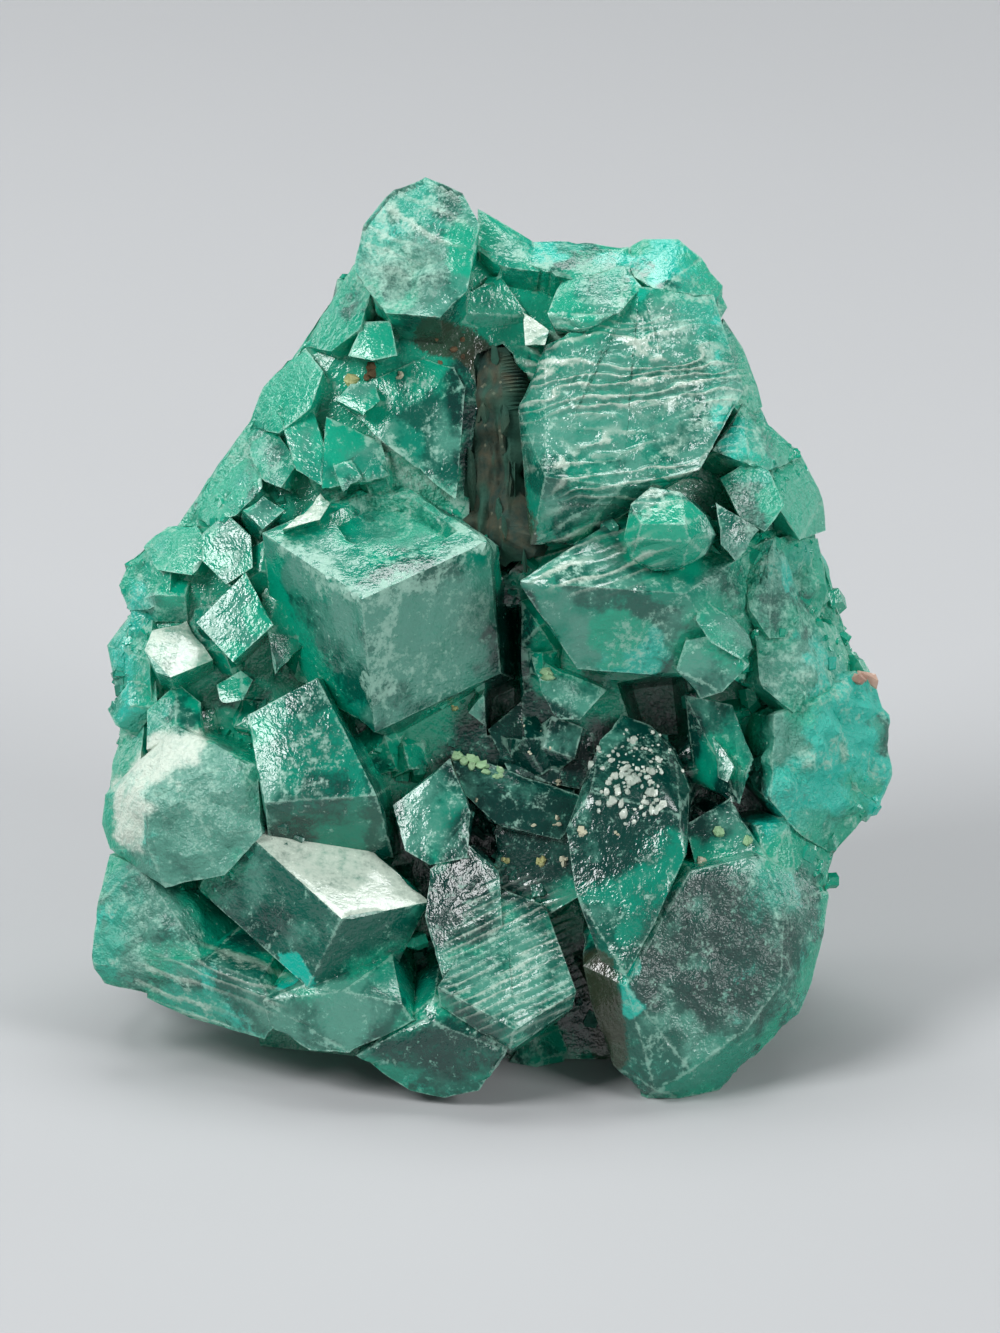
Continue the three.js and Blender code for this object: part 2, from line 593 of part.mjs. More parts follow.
// The three cap faces at a corner and the six prism faces below them.
function cornerCrystal({ corner, edges, root }) {
  const tip = vec(corner);
  const [a, b, c] = edges.map(vec);
  const ways = [a, a.clone().add(b), b, b.clone().add(c), c, c.clone().add(a)];
  const rim = ways.map((e) => e.clone().add(tip));
  return hull([tip, ...rim, ...rim.map((p) => p.clone().add(vec(root)))]);
}

// The faces that show and a smaller copy of them, buried along root.
function faceCrystal({ face, root }) {
  const shown = face.map(vec);
  const middle = mean(shown);
  const onRim = shown.some((p) => reach(new THREE.Vector2(p.x, p.y)) > RIM_SHARE);
  const pull = onRim ? RIM_PULL : 0;
  const taper = onRim ? RIM_TAPER : ROOT_TAPER;
  const inward = new THREE.Vector3(middle2.x - middle.x, middle2.y - middle.y, 0);
  const end = middle.clone().add(vec(root)).addScaledVector(inward, pull);
  const buried = shown.map((p) => p.clone().sub(middle).multiplyScalar(taper).add(end));
  return hull([...shown, ...buried]);
}

// An ideal dioptase crystal with its tip at tip, growing along the unit vector growth.
function idealCrystal(tip, growth, radius, length, spin) {
  const drop = radius * Math.tan(THREE.MathUtils.degToRad(RHOMB_TILT_DEG));
  const points = [new THREE.Vector3(0, 0, 0)];
  for (let k = 0; k < 6; k++) {
    const angle = spin + (k * Math.PI) / 3;
    const low = k % 2 ? drop / 2 : drop;
    const x = radius * Math.cos(angle);
    const y = radius * Math.sin(angle);
    points.push(new THREE.Vector3(x, y, -low), new THREE.Vector3(x, y, -length));
  }
  const turn = new THREE.Quaternion().setFromUnitVectors(new THREE.Vector3(0, 0, 1), growth);
  return hull(points.map((p) => p.applyQuaternion(turn).add(tip)));
}

// Strewn crystals
function strewn(i, tip, outward, { radius, spread }) {
  const jitter = new THREE.Vector3(swing(i, 1), swing(i, 2), swing(i, 3));
  const growth = outward.clone().normalize().addScaledVector(jitter, 2 * spread).normalize();
  const r = THREE.MathUtils.lerp(...radius, chance(i, 4));
  return idealCrystal(tip, growth, r, STREWN.length * r, chance(i, 5) * Math.PI);
}

// Places over the face, in rows that step by half a pitch, out to the share limit of the outline.
function placesOverFace(pitch, limit) {
  const places = [];
  const rowStep = pitch * Math.sqrt(0.75);
  const stray = pitch * STREWN.jitter;
  for (let row = 0, h = 1; h < FACE_TOP; row++, h += rowStep) {
    for (let x = -FACE_HALF_WIDTH + (row % 2) * (pitch / 2); x < FACE_HALF_WIDTH; x += pitch) {
      const i = places.length + STREWN.rowSeeds * row;
      const place = new THREE.Vector2(x + swing(i, 6) * stray, h + swing(i, 7) * stray);
      if (reach(place) < limit) places.push(place);
    }
  }
  return places;
}

function frontDruse() {
  const { left, right, low, high } = DRUSE_FREE;
  const taken = (p) => p.x > left && p.x < right && p.y > low && p.y < high;
  const places = placesOverFace(FRONT_DRUSE.pitch, FRONT_DRUSE.limit).filter((p) => !taken(p));
  return places.map((place, i) => {
    const tip = vec([place.x, place.y, groundDepth(reach(place)) - FRONT_DRUSE.proud]);
    return strewn(FRONT_DRUSE.seed + i, tip, vec(FRONT_DRUSE.outward), FRONT_DRUSE);
  });
}

function sideCrystals() {
  const { seed, rowSeeds, pitch, rows, unevenness, backward, lowest } = SIDE_CRYSTALS;
  const made = [];
  const loop = [...outline2, outline2[0]];
  rows.forEach(([depth, share], row) => {
    let carried = 0;
    for (let k = 0; k + 1 < loop.length; k++) {
      const span = loop[k + 1].clone().sub(loop[k]);
      const long = span.length();
      for (; carried < long; carried += pitch) {
        const i = seed + rowSeeds * row + made.length;
        const away = loop[k].clone().addScaledVector(span, carried / long).sub(middle2);
        const rim = middle2.clone().addScaledVector(away, share);
        if (rim.y < lowest) continue;
        const tip = vec([rim.x, rim.y, depth + swing(i, 8) * unevenness]);
        made.push(strewn(i, tip, vec([away.x, away.y, backward]), SIDE_CRYSTALS));
      }
      carried -= long;
    }
  });
  return made;
}

function backCrystals() {
  const { seed, pitch, limit, proud, fall, unevenness, outward } = BACK_CRYSTALS;
  return placesOverFace(pitch, limit).map((place, i) => {
    const rise = proud * (1 - fall * reach(place) ** 3) + swing(i, 9) * unevenness;
    const tip = vec([place.x, place.y, backDepth(place.y) + rise]);
    const away = place.clone().sub(middle2).multiplyScalar(outward);
    return strewn(seed + i, tip, vec([away.x, away.y, 1]), BACK_CRYSTALS);
  });
}

// The fused mass between and behind the crystals: three rounded lobes that share their middle, and the foot.
function mass() {
  const lobes = MASS_LOBES.map(({ left, right, low, high }) => {
    const rim = outline2.filter((p) => p.x > left && p.x < right && p.y > low && p.y < high);
    const ring = (share, depthAt) => rim.map((p) => {
      const place = middle2.clone().lerp(p, share);
      return vec([place.x, place.y, depthAt(place.y)]);
    });
    const front = GROUND_SHARES.flatMap((share) => ring(share, () => groundDepth(share)));
    const side = ring(MASS_RIM.share, () => MASS_RIM.depth);
    const back = MASS_BACK.flatMap(([share, before]) => ring(share, (h) => backDepth(h) - before));
    return hull([...front, ...side, ...back]);
  });
  return [...lobes, hull(FOOT.map(vec))];
}

// A hollow sunk into the face between a corner crystal's first two edges.
function topPit({ corner, edges }, { ring, depth, clear, taper }) {
  const tip = vec(corner);
  const [a, b] = edges.map(vec);
  const up = a.clone().cross(b).normalize();
  if (up.z > 0) up.negate();
  const mouth = ring.map(([s, t]) => tip.clone().addScaledVector(a, s).addScaledVector(b, t));
  const middle = mean(mouth);
  const bottom = mouth.map((p) => middle.clone().lerp(p, taper).addScaledVector(up, -depth));
  return hull([...mouth.map((p) => p.clone().addScaledVector(up, clear)), ...bottom]);
}

// The space under the floor that the base is broken along.
function underFloor() {
  const side = 4 * FACE_TOP;
  return solidFrom(new THREE.BoxGeometry(side, side, side).translate(0, 0, -side / 2 - FLOOR_DROP));
}

// A convex piece with room for a gap all round.
function grown(points, gap) {
  const far = gap * Math.sqrt(3);
  const steps = [[far, 0, 0], [-far, 0, 0], [0, far, 0], [0, -far, 0], [0, 0, far], [0, 0, -far]].map(vec);
  return hull(points.flatMap((p) => steps.map((s) => p.clone().add(s))));
}

// Assembly
const { Manifold } = wasm;
const rockPoints = ROCK_WEDGE.map(vec);
const ground = Manifold.union([...mass(), ...frontDruse(), ...sideCrystals(), ...backCrystals()]);
const hollows = Manifold.union(Object.values(HOLLOWS).map((points) => hull(points.map(vec))));
const corners = Object.entries(CORNER_CRYSTALS).map(([name, crystal]) => {
  const solid = cornerCrystal(crystal);
  return name === "centre_block" ? solid.subtract(topPit(crystal, TOP_PIT)) : solid;
});
const faces = Object.values(FACE_CRYSTALS).map(faceCrystal);
const grownTogether = Manifold.union([ground.subtract(hollows), ...corners, ...faces]);
const joined = grownTogether.subtract(grown(rockPoints, ROCK_GAP)).subtract(underFloor());
const cluster = joined.decompose().reduce((most, s) => (s.volume() > most.volume() ? s : most));

function geometryOf(solid) {
  const mesh = solid.getMesh();
  const geometry = new THREE.BufferGeometry();
  geometry.setAttribute("position", new THREE.BufferAttribute(new Float32Array(mesh.vertProperties), 3));
  geometry.setIndex(new THREE.BufferAttribute(new Uint32Array(mesh.triVerts), 1));
  geometry.computeVertexNormals();
  return geometry;
}

function piece(name, solid, finish) {
  const mesh = new THREE.Mesh(geometryOf(solid), new THREE.MeshStandardMaterial(finish));
  mesh.name = name;
  return mesh;
}

// The origin is the middle of the cluster's base.
const specimen = new THREE.Group();
specimen.add(piece("dioptase_cluster", cluster, DIOPTASE));
specimen.add(piece("host_rock", hull(rockPoints), HOST_ROCK));
const { min, max } = cluster.boundingBox();
specimen.position.set(-(min[0] + max[0]) / 2, -(min[1] + max[1]) / 2, -min[2]);

const part = new THREE.Group();
part.add(specimen);
export default part;
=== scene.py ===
"""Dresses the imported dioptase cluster: crystal relief, tiny crystals, grains, finishes, light and a camera.

Shapes are worked out in the specimen's face frame, in millimetres: x to the right, h up along the leaning
face and w away from the viewer. Finished meshes are in the row frame, in metres.
"""
import logging
import math
from collections.abc import Callable, Sequence
from dataclasses import dataclass, field
from enum import Enum

import bpy
import numpy as np
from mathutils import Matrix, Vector
from mathutils.bvhtree import BVHTree
from mathutils.kdtree import KDTree


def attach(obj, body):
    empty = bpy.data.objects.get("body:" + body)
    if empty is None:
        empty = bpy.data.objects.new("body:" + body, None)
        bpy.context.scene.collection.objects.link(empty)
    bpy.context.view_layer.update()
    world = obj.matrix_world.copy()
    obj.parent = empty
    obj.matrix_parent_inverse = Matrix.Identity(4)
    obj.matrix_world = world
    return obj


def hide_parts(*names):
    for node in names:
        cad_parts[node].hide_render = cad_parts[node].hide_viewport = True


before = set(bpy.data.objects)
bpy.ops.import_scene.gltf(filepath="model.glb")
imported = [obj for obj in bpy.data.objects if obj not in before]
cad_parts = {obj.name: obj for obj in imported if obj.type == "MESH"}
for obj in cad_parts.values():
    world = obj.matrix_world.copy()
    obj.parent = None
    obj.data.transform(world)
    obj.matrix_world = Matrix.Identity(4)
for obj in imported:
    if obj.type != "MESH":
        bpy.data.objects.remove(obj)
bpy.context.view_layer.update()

log = logging.getLogger("dioptase")

Array = np.ndarray
Colour = tuple[float, float, float]
MM = 0.001
BODY = "root"
IMAGE_WIDTH_PX = 1000
PX_PER_MM = 25
RIDGE_LEAN = 0.68  # share of a growth line's width on its slow side


# Frame of the showy face


@dataclass(frozen=True)
class FaceFrame:
    """The specimen's own frame, square on to its leaning face.

    Attributes:
        lean_deg: How far the face leans back from upright.
        zero_mm: Where the frame's zero lies in the row frame.
    """

    lean_deg: float = 22.0
    zero_mm: tuple[float, float, float] = (0.35, -13.70, 1.25)

    def axes(self) -> Array:
        """Works out the axes of the frame.

        Returns:
            The unit vectors of x, h and w in the row frame, one a row.
        """
        lean = math.radians(self.lean_deg)
        up = (0.0, math.sin(lean), math.cos(lean))
        back = (0.0, math.cos(lean), -math.sin(lean))
        return np.array([(1.0, 0.0, 0.0), up, back])

    def to_row(self, points: Array) -> Array:
        """Returns face points, in millimetres, as row points in metres."""
        return (points @ self.axes() + np.array(self.zero_mm)) * MM

    def to_face(self, points: Array) -> Array:
        """Returns row points, in metres, as face points in millimetres."""
        return (points / MM - np.array(self.zero_mm)) @ self.axes().T


FACE = FaceFrame()


# Repeatable noise


class Noise:
    """Smooth noise over space that is the same on every run."""

    CELLS = 8192
    PRIMES = (73856093, 19349663, 83492791)

    def __init__(self, seed: int) -> None:
        """Draws the lattice values.

        Args:
            seed: The number that fixes the pattern.
        """
        draw = np.random.default_rng(seed)
        self.values = draw.uniform(-1.0, 1.0, self.CELLS)
        self.offsets = draw.uniform(0.0, 1.0, (self.CELLS, 3))

    def cell(self, corner: Array) -> Array:
        """Returns the table index of whole-number lattice corners."""
        x, y, z = (corner[..., k] * prime for k, prime in enumerate(self.PRIMES))
        return (x ^ y ^ z) & (self.CELLS - 1)

    def smooth(self, points: Array) -> Array:
        """Gives smooth noise.

        Args:
            points: Places, one a row.

        Returns:
            Values from -1 to 1 that change over about one unit.
        """
        base = np.floor(points).astype(np.int64)
        part = points - base
        part = part * part * (3.0 - 2.0 * part)
        total = np.zeros(len(points))
        for corner in np.ndindex(2, 2, 2):
            step = np.array(corner)
            weight = np.where(step == 1, part, 1.0 - part).prod(axis=1)
            total += weight * self.values[self.cell(base + step)]
        return total

    def layered(self, points: Array, layers: int = 3) -> Array:
        """Gives smooth noise with finer layers added.

        Args:
            points: Places, one a row.
            layers: How many, each half as strong and half as large as the last.

        Returns:
            Values from about -2 to 2.
        """
        total = np.zeros(len(points))
        for layer in range(layers):
            total += self.smooth(points * 2.0**layer + 17.3 * layer) * 0.5**layer
        return total

    def nearest(self, points: Array) -> Array:
        """Measures the way to scattered seeds, one in each unit cell.

        Args:
            points: Places, one a row.

        Returns:
            The distance to the nearest seed.
        """
        base = np.floor(points).astype(np.int64)
        best = np.full(len(points), np.inf)
        for step in np.ndindex(3, 3, 3):
            corner = base + np.array(step) - 1
            seed = corner + self.offsets[self.cell(corner)]
            best = np.minimum(best, ((points - seed) ** 2).sum(axis=1))
        return np.sqrt(best)


def ease(value: Array, low: float, high: float) -> Array:
    """Returns 0 below low, 1 above high and a smooth step between them."""
    share = np.clip((value - low) / (high - low), 0.0, 1.0)
    return share * share * (3.0 - 2.0 * share)


def unit(vectors: Array) -> Array:
    """Returns the vectors at length 1."""
    return vectors / np.maximum(np.linalg.norm(vectors, axis=-1, keepdims=True), 1e-12)


# Crystal surfaces


@dataclass
class Surface:
    """A closed triangle mesh in the face frame, whose triangles know the flat crystal face they lie on.

    Attributes:
        points: Corner places, one a row.
        triangles: Three corner numbers a row.
        faces: The flat face that each triangle belongs to.
    """

    points: Array
    triangles: Array
    faces: Array

    @classmethod
    def from_node(cls, name: str, flat_deg: float = 1.5) -> "Surface":
        """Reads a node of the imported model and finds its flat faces.

        Args:
            name: The node.
            flat_deg: Neighbouring triangles that bend less than this are one face.

        Returns:
            The welded surface.
        """
        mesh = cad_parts[name].data
        mesh.calc_loop_triangles()
        places = np.array([v.co for v in mesh.vertices])
        corners = np.array([t.vertices for t in mesh.loop_triangles])
        keys = np.round(places / (MM * 1e-3)).astype(np.int64)
        _, first, index = np.unique(keys, axis=0, return_index=True, return_inverse=True)
        triangles = index.reshape(-1)[corners]
        whole = (triangles != np.roll(triangles, 1, axis=1)).all(axis=1)
        surface = cls(FACE.to_face(places[first]), triangles[whole], np.zeros(int(whole.sum()), int))
        surface.faces = surface.flat_faces(math.cos(math.radians(flat_deg)))
        return surface

    def triangle_normals(self) -> Array:
        """Works out the normals of the triangles.

        Returns:
            A vector for each triangle that points out of the solid, as long as twice its area.
        """
        a, b, c = (self.points[self.triangles[:, k]] for k in range(3))
        normals = np.cross(b - a, c - a)
        # The face frame is left-handed, so a normal that points out of the solid is turned round.
        return -normals

    def edges(self) -> tuple[Array, Array]:
        """Finds the edges.

        Returns:
            The two corners of each edge, and each triangle's three edge numbers.
        """
        pairs = np.stack([self.triangles, np.roll(self.triangles, -1, axis=1)], axis=2).reshape(-1, 2)
        pairs.sort(axis=1)
        keys = pairs[:, 0] * len(self.points) + pairs[:, 1]
        _, first, index = np.unique(keys, return_index=True, return_inverse=True)
        return pairs[first], index.reshape(-1, 3)

    def edge_sides(self) -> tuple[Array, Array]:
        """Finds the two triangles at each edge.

        Returns:
            The corners of each edge and the triangles on its two sides.
        """
        pairs, of_triangle = self.edges()
        order = np.argsort(of_triangle.reshape(-1), kind="stable")
        owner = order // 3
        starts = np.searchsorted(of_triangle.reshape(-1)[order], np.arange(len(pairs)))
        ends = np.minimum(starts + 1, len(owner) - 1)
        return pairs, np.stack([owner[starts], owner[ends]], axis=1)

    def flat_faces(self, least_cos: float) -> Array:
        """Numbers the flat faces.

        Args:
            least_cos: Cosine of the largest bend within one face.

        Returns:
            The face number of each triangle.
        """
        normals = unit(self.triangle_normals())
        _, sides = self.edge_sides()
        level = (normals[sides[:, 0]] * normals[sides[:, 1]]).sum(axis=1) > least_cos
        parent = list(range(len(self.triangles)))

        def root(item: int) -> int:
            """Follows a triangle to the one that stands for its face.

            Args:
                item: The triangle.

            Returns:
                The triangle that stands for the face.
            """
            while parent[item] != item:
                parent[item] = parent[parent[item]]
                item = parent[item]
            return item

        for a, b in sides[level]:
            parent[root(int(a))] = root(int(b))
        return np.unique([root(t) for t in range(len(parent))], return_inverse=True)[1]

    def refine(self, longest: Callable[[Array], Array], passes: int = 9) -> None:
        """Halves edges until none is longer than its limit.

        Args:
            longest: Gives the longest allowed edge at each place.
            passes: The most rounds of halving.
        """
        for _ in range(passes):
            pairs, of_triangle = self.edges()
            a, b = self.points[pairs[:, 0]], self.points[pairs[:, 1]]
            middle = (a + b) / 2.0
            cut = np.linalg.norm(a - b, axis=1) > longest(middle)
            if not cut.any():
                return
            number = np.where(cut, len(self.points) + np.cumsum(cut) - 1, -1)
            self.points = np.concatenate([self.points, middle[cut]])
            self.split(number[of_triangle])

    def split(self, halves: Array) -> None:
        """Cuts each triangle at the halved edges.

        Args:
            halves: The new corner on each triangle's three edges, or -1.
        """
        made: list[Array] = []
        owner: list[Array] = []
        count = (halves >= 0).sum(axis=1)
        ids = np.arange(len(self.triangles))

        def keep(which: Array, *corners: Array) -> None:
            """Adds one triangle for each of the triangles in which."""
            made.append(np.stack(corners, axis=1))
            owner.append(self.faces[which])

        whole = ids[count == 0]
        keep(whole, *self.triangles[whole].T)
        for turn in range(3):
            (a, b, c), (ab, bc, ca) = np.roll(self.triangles, -turn, 1).T, np.roll(halves, -turn, 1).T
            one = ids[(count == 1) & (ab >= 0)]
            keep(one, a[one], ab[one], c[one])
            keep(one, ab[one], b[one], c[one])
            two = ids[(count == 2) & (ca < 0)]
            keep(two, ab[two], b[two], bc[two])
            across = np.linalg.norm(self.points[a[two]] - self.points[bc[two]], axis=1)
            other = np.linalg.norm(self.points[ab[two]] - self.points[c[two]], axis=1)
            near, far = two[across <= other], two[across > other]
            keep(near, a[near], ab[near], bc[near])
            keep(near, a[near], bc[near], c[near])
            keep(far, ab[far], bc[far], c[far])
            keep(far, a[far], ab[far], c[far])
        (a, b, c), (ab, bc, ca) = self.triangles.T, halves.T
        all3 = ids[count == 3]
        for corners in ((a, ab, ca), (ab, b, bc), (ca, bc, c), (ab, bc, ca)):
            keep(all3, *(k[all3] for k in corners))
        self.triangles = np.concatenate(made)
        self.faces = np.concatenate(owner)

    def corner_normals(self) -> Array:
        """Works out the normals of the corners.

        Returns:
            A unit vector for each corner, the mean of the triangles round it.
        """
        total = np.zeros_like(self.points)
        normals = self.triangle_normals()
        for k in range(3):
            np.add.at(total, self.triangles[:, k], normals)
        return unit(total)

    def to_object(self, name: str, sharp_deg: float) -> bpy.types.Object:
        """Makes the Blender object, smooth but for the bends over sharp_deg.

        Args:
            name: The object's name.
            sharp_deg: Bends over this stay crisp.

        Returns:
            The new object, linked to the scene.
        """
        return mesh_object(name, FACE.to_row(self.points), self.triangles, sharp_deg)


def mesh_object(name: str, places: Array, faces: Array | list, sharp_deg: float) -> bpy.types.Object:
    """Makes a mesh object in the row frame.

    Args:
        name: The object's name.
        places: Corner places in metres.
        faces: Corner numbers of each face.
        sharp_deg: Bends over this stay crisp.

    Returns:
        The new object, linked to the scene.
    """
    mesh = bpy.data.meshes.new(name)
    mesh.from_pydata(places.tolist(), [], faces.tolist() if isinstance(faces, np.ndarray) else faces)
    mesh.shade_smooth()
    mesh.set_sharp_from_angle(angle=math.radians(sharp_deg))
    made = bpy.data.objects.new(name, mesh)
    bpy.context.scene.collection.objects.link(made)
    return made


def set_mask(thing: bpy.types.Object, name: str, values: Array, domain: str = "POINT") -> None:
    """Stores one number for each corner or triangle, for the finish to read.

    Args:
        thing: The object.
        name: The mask's name.
        values: The numbers.
        domain: POINT or FACE.
    """
    made = thing.data.attributes.new(name, "FLOAT", domain)
    made.data.foreach_set("value", values.astype(np.float32))


# Node groups and finishes


class Bench:
    """Places and joins nodes in one tree."""

    def __init__(self, tree: bpy.types.NodeTree) -> None:
        """Starts with a tree.

        Args:
            tree: A material's or a group's node tree.
        """
        self.tree = tree

    def add(self, kind: str, inputs: dict | None = None, **settings: object) -> bpy.types.Node:
        """Adds a node.

        Args:
            kind: The node's class name after ShaderNode.
            inputs: Values or sockets for its inputs, by name or number.
            settings: Its properties.

        Returns:
            The node.
        """
        node = self.tree.nodes.new(f"ShaderNode{kind}")
        for key, value in settings.items():
            setattr(node, key, value)
        for key, value in (inputs or {}).items():
            self.put(node.inputs[key], value)
        return node

    def put(self, socket: bpy.types.NodeSocket, value: object) -> None:
        """Links a socket to another one, or sets its plain value.

        Args:
            socket: The input.
            value: A socket, a colour or a number.
        """
        if isinstance(value, bpy.types.NodeSocket):
            self.tree.links.new(value, socket)
        elif isinstance(value, tuple) and len(value) == 3 and socket.type == "RGBA":
            socket.default_value = (*value, 1.0)
        else:
            socket.default_value = value

    def maths(self, operation: str, a: object, b: object = 0.0, clamp: bool = False) -> bpy.types.NodeSocket:
        """Returns the result of a Math node."""
        node = self.add("Math", {0: a, 1: b}, operation=operation, use_clamp=clamp)
        return node.outputs[0]

    def blend(self, share: object, a: object, b: object) -> bpy.types.NodeSocket:
        """Lays one colour over another.

        Args:
            share: How much of b is laid over a.
            a: The lower colour.
            b: The upper colour.

        Returns:
            The mixed colour.
        """
        node = self.add("Mix", data_type="RGBA", blend_type="MIX")
        for socket, value in ((node.inputs[0], share), (node.inputs[6], a), (node.inputs[7], b)):
            self.put(socket, value)
        return node.outputs[2]

    def span(self, value: object, low: float, high: float) -> bpy.types.NodeSocket:
        """Returns value, from low to high, mapped smoothly onto 0 to 1."""
        inputs = {"Value": value, "From Min": low, "From Max": high}
        return self.add("MapRange", inputs, interpolation_type="SMOOTHSTEP").outputs[0]

    def mask(self, name: str) -> bpy.types.NodeSocket:
        """Returns a stored mask of the mesh."""
        return self.add("Attribute", attribute_name=name).outputs["Fac"]

    def group(self, tree: bpy.types.NodeTree, inputs: dict[str, object]) -> bpy.types.NodeSocket:
        """Places a shared group with its own values and returns its first output."""
        return self.add("Group", inputs, node_tree=tree).outputs[0]

    def place_mm(self) -> bpy.types.NodeSocket:
        """Reads the place on the object.

        Returns:
            The place, in millimetres.
        """
        place = self.add("TexCoord").outputs["Object"]
        scaled = self.add("VectorMath", {0: place, "Scale": 1.0 / MM}, operation="SCALE")
        return scaled.outputs[0]


def new_group(name: str, inputs: dict[str, float], outputs: dict[str, str]) -> tuple[Bench, dict, dict]:
    """Makes an empty shader node group.

    Args:
        name: The group's name.
        inputs: Its number inputs and their usual values.
        outputs: Its outputs and their socket types.

    Returns:
        A bench on its tree, its input sockets and its output sockets.
    """
    tree = bpy.data.node_groups.new(name, "ShaderNodeTree")
    for key, value in inputs.items():
        socket = tree.interface.new_socket(key, in_out="INPUT", socket_type="NodeSocketFloat")
        socket.default_value = value
    for key, kind in outputs.items():
        tree.interface.new_socket(key, in_out="OUTPUT", socket_type=kind)
    bench = Bench(tree)
    into = tree.nodes.new("NodeGroupInput")
    out = tree.nodes.new("NodeGroupOutput")
    return bench, {key: into.outputs[key] for key in inputs}, {key: out.inputs[key] for key in outputs}


class Effects:
    """The shared shader effects, each made once."""

    NOISE_TOP = 0.78  # what Blender's noise rarely passes
    NOISE_REACH = 0.56  # from there down to what it rarely falls below

    def __init__(self) -> None:
        """Builds the groups."""
        self.mottle = self.make_mottle()
        self.specks = self.make_specks()
        self.fine_relief = self.make_fine_relief()
        self.growth_lines = self.make_growth_lines()

    def make_mottle(self) -> bpy.types.NodeTree:
        """Makes cloudy patches.

        Returns:
            A group with Size in millimetres, Cover from 0 to 1, Softness and a Shift of place.
        """
        bench, got, out = new_group(
            "cloudy_patches",
            {"Size": 1.0, "Cover": 0.5, "Softness": 0.1, "Shift": 0.0},
            {"Mask": "NodeSocketFloat"},
        )
        place = bench.add("VectorMath", {0: bench.place_mm(), 1: got["Shift"]}, operation="ADD").outputs[0]
        scale = bench.maths("DIVIDE", 1.0, got["Size"])
        noise = bench.add("TexNoise", {"Vector": place, "Scale": scale, "Detail": 3.0, "Roughness": 0.62})
        covered = bench.maths("MULTIPLY", got["Cover"], self.NOISE_REACH)
        edge = bench.maths("SUBTRACT", self.NOISE_TOP, covered)
        low = bench.maths("SUBTRACT", edge, got["Softness"])
        high = bench.maths("ADD", edge, got["Softness"])
        ramp = bench.add("MapRange", {"Value": noise.outputs["Fac"], "From Min": low, "From Max": high})
        bench.put(out["Mask"], ramp.outputs[0])
        return bench.tree

    def make_specks(self) -> bpy.types.NodeTree:
        """Makes scattered specks.

        Returns:
            A group with the Size of a cell in millimetres, the Radius of a speck in cells, and the Share of
            cells that have one.
        """
        bench, got, out = new_group(
            "scattered_specks", {"Size": 0.5, "Radius": 0.2, "Share": 0.4}, {"Mask": "NodeSocketFloat"}
        )
        scale = bench.maths("DIVIDE", 1.0, got["Size"])
        cells = bench.add("TexVoronoi", {"Vector": bench.place_mm(), "Scale": scale}, distance="MANHATTAN")
        near = bench.maths("LESS_THAN", cells.outputs["Distance"], got["Radius"])
        split = bench.add("SeparateColor", {"Color": cells.outputs["Color"]})
        lucky = bench.maths("LESS_THAN", split.outputs[0], got["Share"])
        bench.put(out["Mask"], bench.maths("MULTIPLY", near, lucky))
        return bench.tree

    def make_fine_relief(self) -> bpy.types.NodeTree:
        """Makes fine rough grain.

        Returns:
            A group that gives a height from 0 to 1, with Size in millimetres.
        """
        bench, got, out = new_group("fine_relief", {"Size": 0.4}, {"Height": "NodeSocketFloat"})
        scale = bench.maths("DIVIDE", 1.0, got["Size"])
        inputs = {"Vector": bench.place_mm(), "Scale": scale, "Detail": 2.0, "Roughness": 0.74}
        bench.put(out["Height"], bench.add("TexNoise", inputs).outputs["Fac"])
        return bench.tree

    def make_growth_lines(self) -> bpy.types.NodeTree:
        """Makes growth lines.

        Returns:
            A group that gives a height, from 0 in a trough to 1 on a crest, from the lines' Phase and Lean.
        """
        bench, got, out = new_group(
            "growth_lines", {"Phase": 0.0, "Lean": RIDGE_LEAN}, {"Height": "NodeSocketFloat"}
        )
        share = bench.maths("FRACT", got["Phase"])
        rise = bench.maths("DIVIDE", share, got["Lean"])
        rest = bench.maths("SUBTRACT", 1.0, got["Lean"])
        fall = bench.maths("DIVIDE", bench.maths("SUBTRACT", 1.0, share), rest)
        bench.put(out["Height"], bench.maths("MINIMUM", rise, fall))
        return bench.tree


@dataclass(frozen=True)
class Tint:
    """A colour laid over the crystal where a mask is high.

    Attributes:
        mask: The stored mask.
        colour: What is laid on.
        rag: How far the fine texture frays its border.
        low: The mask's value where the colour starts.
        high: The mask's value where it is full.
        share: How much it covers there.
    """

    mask: str
    colour: Colour
    rag: float
    low: float
    high: float
    share: float


